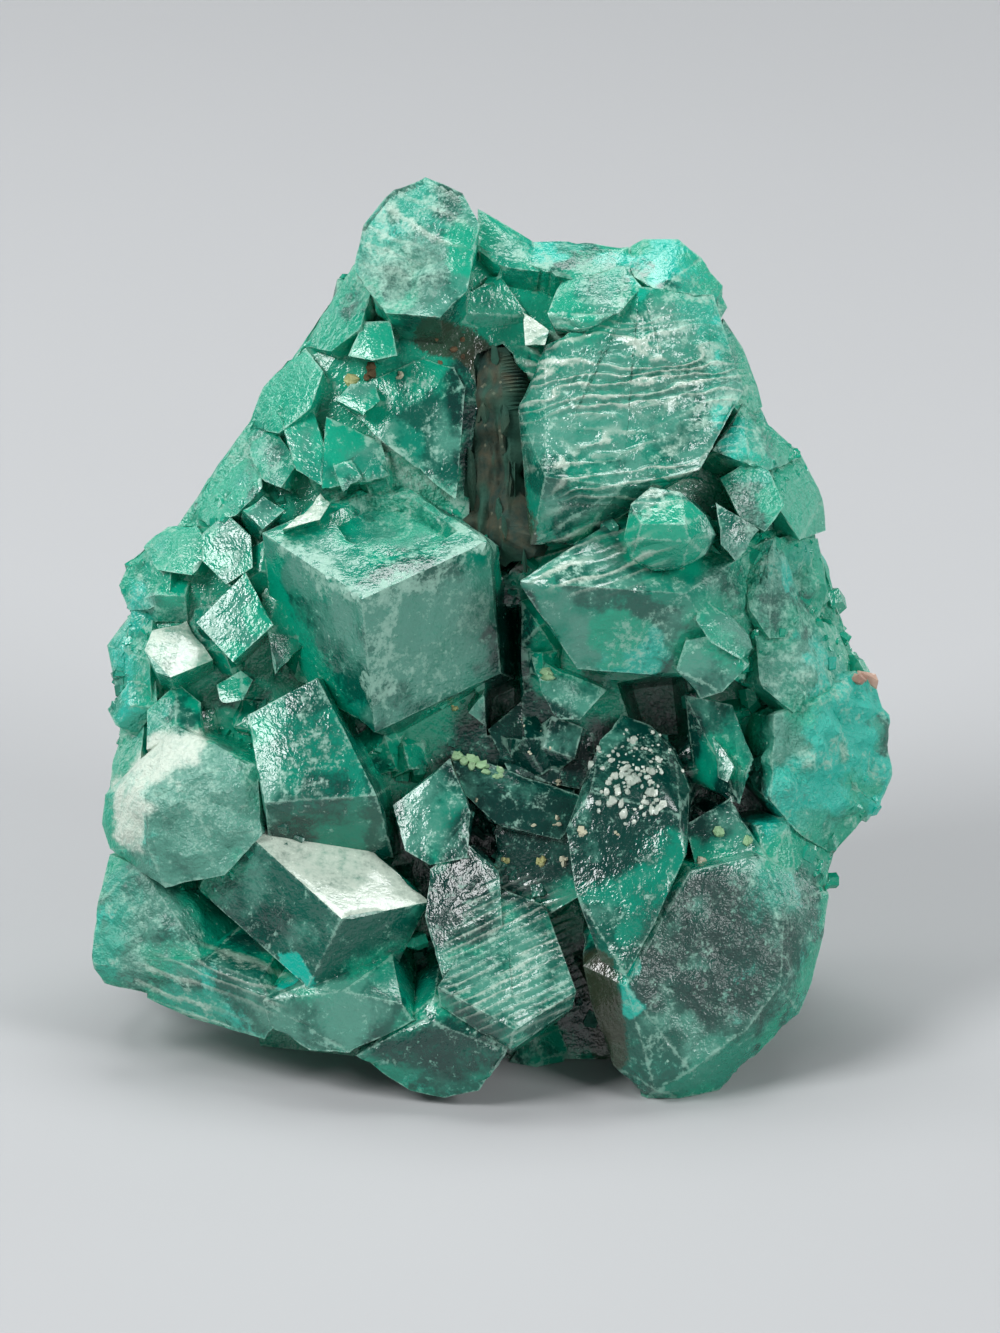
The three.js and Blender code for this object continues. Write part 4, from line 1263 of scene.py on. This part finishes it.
        recess = self.recess(points)
        hollow = np.exp(-((concave / 0.7) ** 2))
        tones = np.zeros(len(points))
        tones[self.surface.triangles.reshape(-1)] = np.repeat(self.face_tones()[self.surface.faces], 3)
        lines = self.near_lines(self.crust_lines, stray, self.crust_width) * front
        crust = patch(0.9, 0.15, 83.0) * (0.40 * rim + 0.45 * tones * (1.0 - recess))
        self.masks["rim"] = rim
        self.masks["hollow"] = hollow
        self.masks["recess"] = recess
        self.masks["edge"] = np.exp(-((convex / 0.14) ** 2))
        self.masks["clouds"] = patch(3.6, 0.0, 0.0)
        # The mint rim: partly the rim's own colour, partly painted glow of back light through thin outline
        # crystals.
        self.masks["mint"] = rim * (0.25 + 0.75 * patch(1.6, -0.1, 57.0))
        self.masks["turquoise"] = np.maximum(rim * patch(1.8, 0.2, 21.0), spotted(self.turquoise_spots))
        # Painted glow of light through the crystal in the crevices and hollows.
        crevice = np.maximum(0.9 * recess, hollow * 0.7) * patch(1.7, -0.25, 13.0)
        self.masks["glow"] = np.clip(np.maximum(spotted(self.glow_spots), crevice), 0.0, 1.0)
        clean = np.clip(spotted(self.turquoise_spots) + spotted(self.glow_spots), 0.0, 1.0)
        crust = np.maximum.reduce([crust * (1.0 - 0.8 * clean), spotted(self.crust_spots), 0.8 * lines])
        self.masks["crust"] = np.clip(crust, 0.0, 1.0)
        # Painted highlight over whole faces that face the light.
        self.masks["frost"] = self.highlighted_faces()[self.surface.faces]
        uneven = 0.7 * noise.layered(points / 1.1 + 29.0)
        # Painted shade from the spots; the fused mass between the crystals gets patches of it too.
        shade = np.clip(spotted(self.shade_spots), 0.0, 1.0)
        # The fused mass between the crystals, seen from the front, gets painted glow and patches of painted
        # shade.
        level = ease(-normals[:, 2], 0.88, 0.96)
        ground = ease(points[:, 2], *self.ground_depths) * level * (1.0 - 0.6 * rim) * front
        glow = np.maximum(self.masks["glow"], ground * (0.3 + 0.7 * patch(1.5, -0.1, 71.0)))
        self.masks["shade"] = np.maximum(shade, 0.55 * ground * patch(2.2, 0.1, 37.0))
        self.masks["glow"] = glow * (1.0 - 0.85 * shade)
        # Painted sheen and light: thicker on the pale spots, thinner on the dark spots, in the painted shade
        # and on the fused mass.
        painted_sheen = spotted(self.pale_spots) - spotted(self.dark_spots)
        self.masks["region"] = painted_sheen - 0.4 * shade - ground + uneven
        # A band of painted highlight.
        self.masks["frost_band"] = self.near_lines(self.highlight_lines, stray, self.highlight_width) * front
        self.masks["coarse"] = np.clip(0.5 * rim + spotted(self.coarse_spots), 0.0, 1.0)
        stain = self.near_lines(self.stains, points, self.stain_width)
        self.masks["stain"] = stain * (points[:, 2] < self.drawn_depth)
        self.masks["smooth"] = self.smooth_faces()[self.surface.faces]
        self.masks["tone"] = self.face_tones()[self.surface.faces]

    def recess(self, points: Array, cell: float = 0.4, blur: float = 1.6, depth: float = 1.3) -> Array:
        """Measures how far each corner of the showy side lies behind the crystals round it.

        Args:
            points: Corner places before the relief.
            cell: Grid step of the depth map.
            blur: How far round a corner its neighbours count.
            depth: A corner this far behind them counts in full.

        Returns:
            0 for what stands level or proud, 1 for the bottom of a crevice.
        """
        margin, span = 24.0, 66.0  # the depth map's zero and width, which hold the whole face
        spot = ((points[:, :2] + margin) / cell).astype(int)
        size = int(span / cell)
        front = np.full((size, size), np.inf)
        np.minimum.at(front, (spot[:, 0], spot[:, 1]), points[:, 2])
        seen = np.isfinite(front)
        wave = np.fft.fftfreq(size, cell)
        spread = np.exp(-2.0 * (math.pi * blur) ** 2 * (wave[:, None] ** 2 + wave[None, :] ** 2))

        def blurred(values: Array) -> Array:
            """Returns the grid, smoothed."""
            return np.fft.ifft2(np.fft.fft2(values) * spread).real

        mean = blurred(np.where(seen, front, 0.0)) / np.maximum(blurred(seen.astype(float)), 1e-3)
        behind = points[:, 2] - mean[spot[:, 0], spot[:, 1]]
        return ease(behind, 0.0, depth) * (1.0 - ease(points[:, 2], 8.5, 10.0))

    @staticmethod
    def near_lines(lines: Sequence[Sequence[tuple[float, float]]], points: Array, width: float) -> Array:
        """Finds what lies near broken lines drawn on the face.

        Args:
            lines: The corners of each line, in x and h.
            points: Places, one a row.
            width: How far the lines reach.

        Returns:
            1 along the lines, fading to 0 at width from them.
        """
        nearest = np.full(len(points), np.inf)
        for line in lines:
            for start, end in zip(line, line[1:]):
                a, way = np.array(start), np.array(end) - np.array(start)
                share = np.clip((points[:, :2] - a) @ way / (way @ way), 0.0, 1.0)
                foot = a + share[:, None] * way
                nearest = np.minimum(nearest, np.linalg.norm(points[:, :2] - foot, axis=1))
        return 1.0 - ease(nearest, 0.3 * width, width)

    def face_normals(self) -> Array:
        """Returns the unit normal of each flat face."""
        normals = self.surface.triangle_normals()
        return unit(np.stack([np.bincount(self.surface.faces, normals[:, k]) for k in range(3)], axis=1))

    def smooth_faces(self) -> Array:
        """Finds the faces that grew smooth.

        Returns:
            1 for each flat face that lies along the cluster's brightest growth plane.
        """
        along = self.face_normals() @ unit(np.array(self.bright_plane))
        full, least = (math.cos(math.radians(bend)) for bend in self.smooth_bend_deg)
        return ease(along, least, full)

    def face_middles(self) -> Array:
        """Works out the middles of the flat faces.

        Returns:
            One place for each face.
        """
        surface = self.surface
        area = np.linalg.norm(surface.triangle_normals(), axis=1)
        centres = surface.points[surface.triangles].mean(axis=1) * area[:, None]
        total = np.stack([np.bincount(surface.faces, centres[:, k]) for k in range(3)], axis=1)
        return total / np.maximum(np.bincount(surface.faces, area), 1e-9)[:, None]

    def highlighted_faces(self) -> Array:
        """Finds the faces that are painted white from edge to edge as a highlight.

        Returns:
            How strongly each flat face is painted white.
        """
        bend = self.face_normals() @ unit(np.array(self.bright_plane))
        cover = sum(spot.cover(self.face_middles()) for spot in self.highlight_spots)
        return np.clip(cover, 0.0, 1.0) * (bend > math.cos(math.radians(self.highlight_bend_deg)))

    def face_tones(self) -> Array:
        """Gives each flat face its own share of painted sheen and light, partly at random.

        Returns:
            The shares, larger for the faces that look up and forward toward the light, smaller at the foot in
            painted shade.
        """
        facing = ease(self.face_normals() @ unit(np.array(self.sheen_lit_way)), -0.1, 0.95)
        middle = self.face_middles()[:, :2]
        # Painted shade: the foot right of the middle is darker.
        shade = np.exp(-(((middle - np.array([1.0, 4.5])) / np.array([7.5, 7.0])) ** 2).sum(axis=1))
        draw = np.random.default_rng(11).random(len(facing))
        return np.clip(0.15 + 0.75 * facing + 0.5 * (draw - 0.5) - 0.55 * shade, 0.0, 1.0)


def crystal_shape(radius: float, length: float, tilt_deg: float = 51.0) -> tuple[Array, list[list[int]]]:
    """Makes an ideal dioptase crystal, growing along z: a six-sided prism with a three-faced cap.

    Args:
        radius: Of the prism.
        length: From the tip to the buried end.
        tilt_deg: A cap face's normal against the long axis.

    Returns:
        The corners, with the tip at zero, and the faces.
    """
    drop = radius * math.tan(math.radians(tilt_deg))
    turns = np.arange(6) * math.pi / 3.0
    low = np.where(np.arange(6) % 2, -drop / 2, -drop)
    ring = np.stack([radius * np.cos(turns), radius * np.sin(turns), low], 1)
    end = ring.copy()
    end[:, 2] = -length
    corners = np.concatenate([np.zeros((1, 3)), ring, end])
    cap = [[0, 1 + (k + 5) % 6, 1 + k, 1 + (k + 1) % 6] for k in (0, 2, 4)]
    sides = [[1 + k, 7 + k, 7 + (k + 1) % 6, 1 + (k + 1) % 6] for k in range(6)]
    return corners, [*cap, *sides, [12, 11, 10, 9, 8, 7]]


@dataclass
class TinyCrystals:
    """The small crystals that line the crevices and crowd the rim.

    Attributes:
        count: How many are set.
        radius: The smallest and the largest radius.
        length: How many radii long they are.
        slant: How far they lean from the face they grow on.
        proud: How far their tips stand out of that face, in radii.
        shrink: How much smaller they are on faces turned away from the viewer.
        lowest: Height over the floor under which none grow.
        flank_share: How many grow on the flanks, beside those in the crevices.
        flank_depths: Depths where the flanks start and are full.
        seed: Fixes their places.
    """

    count: int = 1600
    radius: tuple[float, float] = (0.14, 0.50)
    length: float = 2.6
    slant: float = 0.75
    proud: tuple[float, float] = (-0.1, 0.6)
    shrink: float = 0.55
    lowest: float = 1.0
    flank_share: float = 0.35
    flank_depths: tuple[float, float] = (7.5, 9.5)
    seed: int = 23

    def build(self, cluster: Cluster) -> bpy.types.Object:
        """Sets the crystals on the cluster.

        Args:
            cluster: What they grow on.

        Returns:
            One object that holds them all.
        """
        surface = cluster.surface
        draw = np.random.default_rng(self.seed)
        normals = surface.triangle_normals()
        area = np.linalg.norm(normals, axis=1) / 2.0
        centres = surface.points[surface.triangles].mean(axis=1)

        def mask(name: str) -> Array:
            """Returns a mask of the cluster for each triangle."""
            return cluster.masks[name][surface.triangles].mean(axis=1)

        patchy = ease(Noise(8).layered(centres / 3.0), -0.1, 0.6)
        above = FACE.to_row(centres)[:, 2] > self.lowest * MM
        facing = unit(normals)[:, 2]
        flanks = mask("rim") * ease(centres[:, 2], *self.flank_depths) * ease(1.0 - np.abs(facing), 0.2, 0.7)
        turned_off = ease(1.0 + facing, 0.3, 0.8)
        weight = area * above * patchy**2 * (mask("hollow") * mask("recess") + self.flank_share * flanks)
        chosen = draw.choice(len(centres), self.count, p=weight / weight.sum())
        corners: list[Array] = []
        faces: list[list[int]] = []
        for pick in chosen:
            radius = self.radius[0] + (self.radius[1] - self.radius[0]) * draw.random() ** 2.2
            radius *= 1.0 - self.shrink * turned_off[pick]
            shape, sides = crystal_shape(radius, self.length * radius)
            growth = unit(unit(normals[pick]) + self.slant * draw.uniform(-1.0, 1.0, 3))
            side = unit(np.cross(growth, draw.normal(size=3)))
            turned = shape @ np.stack([side, np.cross(growth, side), growth])
            first = len(shape) * len(corners)
            corners.append(turned + centres[pick] + growth * radius * draw.uniform(*self.proud))
            faces += [[first + k for k in reversed(f)] for f in sides]
        points = np.concatenate(corners)
        made = mesh_object("tiny_crystals", FACE.to_row(points), faces, 20.0)
        of_corner = np.repeat(chosen, len(shape))
        # Each takes the mint rim, turquoise, painted glow and painted shade of the place it grows on.
        for name in ("mint", "turquoise", "glow", "shade"):
            set_mask(made, name, mask(name)[of_corner])
        set_mask(made, "clouds", np.full(len(points), 0.6))
        set_mask(made, "tone", np.repeat(draw.random(self.count), len(sides)), "FACE")
        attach(made, BODY)
        return made


@dataclass
class HostRock:
    """The wedge of brown rock in the cleft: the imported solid, grown out to the crystals and broken up.

    Attributes:
        node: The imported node.
        edge: Longest mesh edge.
        growth: How far it reaches out to close the clearance to the crystals.
        depth: Of the furrows and pits.
        furrow: Size of the furrows and pits in x, h and w.
        swell: Size of the broad lumps, in the same way.
        streak: Size of the green streaks, in the same way.
        blades: How many thin splinters stand on it.
        blade_way: The way they run.
        blade_sizes: The least and the most of their half thickness, length and width.
        seed: Fixes their places.
    """

    node: str = "host_rock"
    edge: float = 0.16
    growth: float = 0.75
    depth: float = 0.60
    furrow: tuple[float, float, float] = (0.45, 2.4, 0.8)
    swell: tuple[float, float, float] = (2.0, 1.2, 2.0)
    streak: tuple[float, float, float] = (0.5, 2.6, 1.5)
    blades: int = 36
    blade_way: tuple[float, float, float] = (0.11, -0.99, 0.0)
    blade_sizes: Sequence[tuple[float, float]] = ((0.10, 0.26), (0.7, 1.7), (0.25, 0.5))
    seed: int = 12

    def build(self) -> bpy.types.Object:
        """Makes the mesh.

        Returns:
            The object that replaces the node.
        """
        surface = Surface.from_node(self.node)
        surface.refine(lambda places: np.full(len(places), self.edge))
        noise = Noise(31)
        normals = surface.corner_normals()
        rough = 0.5 + 0.5 * noise.layered(surface.points / np.array(self.furrow), 4)
        wide = self.growth * (1.0 + 0.9 * noise.layered(surface.points / np.array(self.swell) + 5.0, 2))
        lift = wide - self.depth * np.clip(rough, 0.0, 1.2)
        streak = ease(noise.layered(surface.points / np.array(self.streak) + 60.0), -0.25, 0.3)
        surface.points = surface.points + normals * lift[:, None]
        blades, sides, green = self.splinters(surface.points)
        corners = np.concatenate([surface.points, blades])
        triangles = np.concatenate([surface.triangles, sides + len(surface.points)])
        made = mesh_object("cleft_rock", FACE.to_row(corners), triangles, 40.0)
        set_mask(made, "streak", np.concatenate([0.85 * streak, green]))
        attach(made, BODY)
        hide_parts(self.node)
        return made

    def splinters(self, points: Array) -> tuple[Array, Array, Array]:
        """Stands thin blades in the cleft.

        Args:
            points: The wedge's corners.

        Returns:
            The blades' corners and triangles, and how green each corner is.
        """
        draw = np.random.default_rng(self.seed)
        seen = points[points[:, 2] < np.median(points[:, 2])]
        along = unit(np.array(self.blade_way))
        corners: list[Array] = []
        faces: list[Array] = []
        green: list[float] = []
        for pick in draw.choice(len(seen), self.blades):
            shape, sides = Grains.lump(1.0, draw)
            lean = unit(along + draw.normal(0.0, 0.16, 3))
            side = unit(np.cross(lean, [0.0, 0.0, 1.0]))
            size = np.array([draw.uniform(*limits) for limits in self.blade_sizes])
            turned = (shape * size) @ np.stack([side, lean, np.cross(side, lean)])
            faces.append(sides[:, ::-1] + len(shape) * len(corners))
            corners.append(turned + seen[pick])
            green += [draw.uniform(0.0, 1.0)] * len(shape)
        return np.concatenate(corners), np.concatenate(faces), np.array(green)


@dataclass(frozen=True)
class GrainSpot:
    """A place on the face where grains sit: its middle, its spread, the grains' size and how many."""

    kind: GrainKind
    x: float
    h: float
    spread: float
    size: float
    count: int


@dataclass
class Grains:
    """Small grains of other minerals that lie on the crystals, set by looking straight at the face.

    Attributes:
        spots: Where they lie.
        sizes: The least and the most of a grain, as shares of its spot's size.
        viewpoint: A depth in front of all the crystals.
        seed: Fixes their places.
    """

    spots: Sequence[GrainSpot] = (
        GrainSpot(GrainKind.YELLOW, -6.0, 28.8, 0.22, 0.40, 5),
        GrainSpot(GrainKind.RUST, -5.2, 29.2, 0.30, 0.30, 5),
        GrainSpot(GrainKind.RUST, -1.6, 30.3, 0.80, 0.20, 5),
        GrainSpot(GrainKind.CREAM, -3.9, 29.2, 0.30, 0.20, 4),
        GrainSpot(GrainKind.LEAF, -1.7, 13.7, 0.16, 0.26, 4),
        GrainSpot(GrainKind.LEAF, -1.2, 13.5, 0.18, 0.30, 5),
        GrainSpot(GrainKind.LEAF, -0.7, 13.3, 0.18, 0.28, 5),
        GrainSpot(GrainKind.LEAF, -0.1, 13.0, 0.18, 0.26, 4),
        GrainSpot(GrainKind.LEAF, 1.9, 17.0, 0.14, 0.32, 4),
        GrainSpot(GrainKind.YELLOW, -1.75, 15.7, 0.12, 0.20, 3),
        GrainSpot(GrainKind.CREAM, 3.25, 10.7, 0.12, 0.22, 3),
        GrainSpot(GrainKind.CREAM, 2.35, 12.7, 0.10, 0.18, 2),
        GrainSpot(GrainKind.CREAM, 2.3, 11.1, 0.15, 0.18, 3),
        GrainSpot(GrainKind.CREAM, 1.4, 11.0, 0.12, 0.14, 2),
        GrainSpot(GrainKind.CREAM, 1.6, 14.7, 0.80, 0.09, 6),
        GrainSpot(GrainKind.CREAM, -0.95, 12.0, 0.10, 0.14, 2),
        GrainSpot(GrainKind.YELLOW, 1.6, 9.6, 0.16, 0.24, 4),
        GrainSpot(GrainKind.CREAM, 2.5, 9.55, 0.12, 0.22, 3),
        GrainSpot(GrainKind.YELLOW, 0.3, 9.6, 0.14, 0.20, 3),
        GrainSpot(GrainKind.CREAM, 4.6, 10.6, 0.12, 0.13, 2),
        GrainSpot(GrainKind.LEAF, 8.7, 10.7, 0.14, 0.26, 4),
        GrainSpot(GrainKind.LEAF, 9.95, 10.4, 0.14, 0.28, 4),
        GrainSpot(GrainKind.CREAM, 8.0, 9.55, 0.10, 0.20, 3),
        GrainSpot(GrainKind.SPARKLE, 5.0, 12.9, 0.90, 0.25, 46),
        GrainSpot(GrainKind.SPARKLE, 5.4, 13.3, 1.20, 0.12, 90),
        GrainSpot(GrainKind.SPARKLE, 6.1, 11.8, 0.50, 0.24, 14),
        GrainSpot(GrainKind.PINK, 14.6, 16.8, 0.30, 0.50, 4),
    )
    sizes: tuple[float, float] = (0.5, 1.1)
    viewpoint: float = -5.0
    seed: int = 5

    def build(self, cluster: Cluster, effects: Effects) -> list[bpy.types.Object]:
        """Lays the grains, one object for each kind.

        Args:
            cluster: What they lie on.
            effects: The shared groups.

        Returns:
            The objects.
        """
        surface = cluster.surface
        ground = BVHTree.FromPolygons(surface.points.tolist(), surface.triangles.tolist())
        draw = np.random.default_rng(self.seed)
        made: list[bpy.types.Object] = []
        for kind in GrainKind:
            corners: list[Array] = []
            faces: list[Array] = []
            for spot in (s for s in self.spots if s.kind is kind):
                for _ in range(spot.count):
                    x, h = np.array([spot.x, spot.h]) + draw.normal(0.0, spot.spread * 0.6, 2)
                    place, *_ = ground.ray_cast(Vector((x, h, self.viewpoint)), Vector((0.0, 0.0, 1.0)))
                    if place is None:
                        continue
                    shape, sides = self.lump(spot.size * draw.uniform(*self.sizes), draw)
                    faces.append(sides + sum(len(c) for c in corners))
                    corners.append(shape + np.array(place))
            places = FACE.to_row(np.concatenate(corners))
            grains = mesh_object(kind.value.name + "s", places, np.concatenate(faces)[:, ::-1], 30.0)
            grains.data.materials.append(kind.value.material(effects))
            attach(grains, BODY)
            made.append(grains)
        return made

    @staticmethod
    def lump(size: float, draw: np.random.Generator) -> tuple[Array, Array]:
        """Makes one angular grain.

        Args:
            size: Its radius.
            draw: The random source.

        Returns:
            Its corners and triangles.
        """
        golden = (1.0 + math.sqrt(5.0)) / 2.0
        corners = [(s, t * golden, 0.0) for s in (-1, 1) for t in (-1, 1)]
        corners = np.array([np.roll(c, k) for k in range(3) for c in corners])
        corners = unit(corners) * size * draw.uniform(0.65, 1.1, (12, 1)) * draw.uniform(0.6, 1.1, 3)
        triples = [(a, b, c) for a in range(12) for b in range(a) for c in range(b)]
        faces = []
        for a, b, c in triples:
            normal = np.cross(corners[b] - corners[a], corners[c] - corners[a])
            side = (corners - corners[a]) @ normal
            if (side <= 1e-9).all():
                faces.append((a, b, c))
            elif (side >= -1e-9).all():
                faces.append((a, c, b))
        return corners, np.array(faces)


@dataclass(frozen=True)
class Softbox:
    """A soft light that faces the specimen.

    Attributes:
        name: Its name.
        toward: The direction from the specimen to it, in the face frame.
        away: Its distance.
        size: Its width and height.
        radiance: How bright its surface is.
    """

    name: str
    toward: tuple[float, float, float]
    away: float
    size: tuple[float, float]
    radiance: float

    def hang(self, target: Vector) -> None:
        """Hangs the light.

        Args:
            target: What it faces, in the row frame.
        """
        data = bpy.data.lights.new(self.name, "AREA")
        data.shape = "RECTANGLE"
        data.size, data.size_y = (s * MM for s in self.size)
        data.energy = math.pi * data.size * data.size_y * self.radiance
        light = bpy.data.objects.new(self.name, data)
        bpy.context.scene.collection.objects.link(light)
        way = Vector(unit(np.array(self.toward)) @ FACE.axes())
        light.location = target + way * self.away * MM
        light.rotation_euler = way.to_track_quat("Z", "Y").to_euler()


@dataclass
class Studio:
    """The pale floor, the soft lights and the camera that looks square on to the face.

    Attributes:
        target: Where the middle of the picture lies, in the face frame.
        distance: From the camera to there.
        floor_colour: Of the floor, and floor_half half its width.
        sky_colour: Of the light from all round, and sky_strength its strength.
        softboxes: Two above, two behind, two in front and a broad dim one low in front.
    """

    target: tuple[float, float, float] = (0.0, 17.34, 4.0)
    distance: float = 520.0
    floor_colour: Colour = (0.42, 0.43, 0.44)
    floor_half: float = 1500.0
    sky_colour: Colour = (0.86, 0.93, 1.0)
    sky_strength: float = 0.13
    softboxes: Sequence[Softbox] = (
        Softbox("overhead", (0.06, 0.99, 0.01), 220.0, (160.0, 80.0), 7.2),
        Softbox("high_left", (-0.58, 0.80, 0.02), 220.0, (60.0, 50.0), 8.0),
        Softbox("behind_left", (-0.80, 0.35, 0.55), 240.0, (90.0, 160.0), 3.0),
        Softbox("behind_right", (0.85, 0.30, 0.45), 240.0, (90.0, 160.0), 3.0),
        Softbox("front_left", (-0.62, 0.52, -0.60), 480.0, (200.0, 200.0), 14.0),
        Softbox("low_front", (0.05, -0.42, -0.90), 480.0, (620.0, 460.0), 0.60),
        Softbox("front_right", (0.68, 0.28, -0.68), 480.0, (190.0, 190.0), 10.6),
    )

    def build(self, effects: Effects) -> None:
        """Sets the stage.

        Args:
            effects: The shared groups.
        """
        self.lay_floor(effects)
        self.hang_lights()
        self.set_camera()
        bpy.context.scene.view_settings.view_transform = "Standard"

    def lay_floor(self, effects: Effects) -> None:
        """Lays the floor under the specimen.

        Args:
            effects: The shared groups.
        """
        half = self.floor_half * MM
        corners = np.array([(-half, -half, 0), (half, -half, 0), (half, half, 0), (-half, half, 0)], float)
        floor = mesh_object("floor", corners - np.array([0, 0, 0.02 * MM]), [[0, 1, 2, 3]], 30.0)
        made = bpy.data.materials.new("pale_floor")
        made.use_nodes = True
        bench = Bench(made.node_tree)
        shader = made.node_tree.nodes["Principled BSDF"]
        soft = bench.group(effects.mottle, {"Size": 60.0, "Cover": 0.5, "Softness": 0.4, "Shift": 5.0})
        paler = tuple(1.04 * c for c in self.floor_colour)
        bench.put(shader.inputs["Base Color"], bench.blend(soft, self.floor_colour, paler))
        shader.inputs["Roughness"].default_value = 0.6
        floor.data.materials.append(made)

    def hang_lights(self) -> None:
        """Lights the sky and hangs the softboxes."""
        world = bpy.context.scene.world or bpy.data.worlds.new("studio")
        bpy.context.scene.world = world
        world.use_nodes = True
        sky = world.node_tree.nodes["Background"]
        sky.inputs["Color"].default_value = (*self.sky_colour, 1.0)
        sky.inputs["Strength"].default_value = self.sky_strength
        for softbox in self.softboxes:
            softbox.hang(self.aim())

    def aim(self) -> Vector:
        """Returns the target in the row frame."""
        return Vector(FACE.to_row(np.array([self.target]))[0])

    def set_camera(self) -> None:
        """Sets the camera so that the picture's scale is that of the photograph."""
        data = bpy.data.cameras.new("camera")
        data.sensor_fit = "HORIZONTAL"
        data.sensor_width = 36.0
        data.lens = data.sensor_width * self.distance / (IMAGE_WIDTH_PX / PX_PER_MM)
        data.clip_start, data.clip_end = 0.01, 10.0
        camera = bpy.data.objects.new("camera", data)
        bpy.context.scene.collection.objects.link(camera)
        back = Vector(FACE.axes()[2])
        camera.location = self.aim() - back * self.distance * MM
        camera.rotation_euler = (-back).to_track_quat("Z", "Y").to_euler()
        bpy.context.scene.camera = camera


def main() -> None:
    """Builds every piece in order and reports it."""
    logging.basicConfig(level=logging.INFO, format="%(name)s: %(message)s")
    effects = Effects()
    crystal = DioptaseFinish().material(effects)
    cluster = Cluster()
    stone = cluster.build()
    tiny = TinyCrystals().build(cluster)
    for piece in (stone, tiny):
        piece.data.materials.append(crystal)
    rock = HostRock().build()
    brown = RockFinish("cleft_rock", (0.006, 0.036, 0.027), (0.056, 0.056, 0.032), (0.14, 0.15, 0.10))
    rock.data.materials.append(brown.material(effects))
    pieces = [stone, tiny, rock, *Grains().build(cluster, effects)]
    for piece in pieces:
        log.info("%s: %d triangles", piece.name, sum(len(p.vertices) - 2 for p in piece.data.polygons))
    Studio().build(effects)


if __name__ == "__main__":
    main()
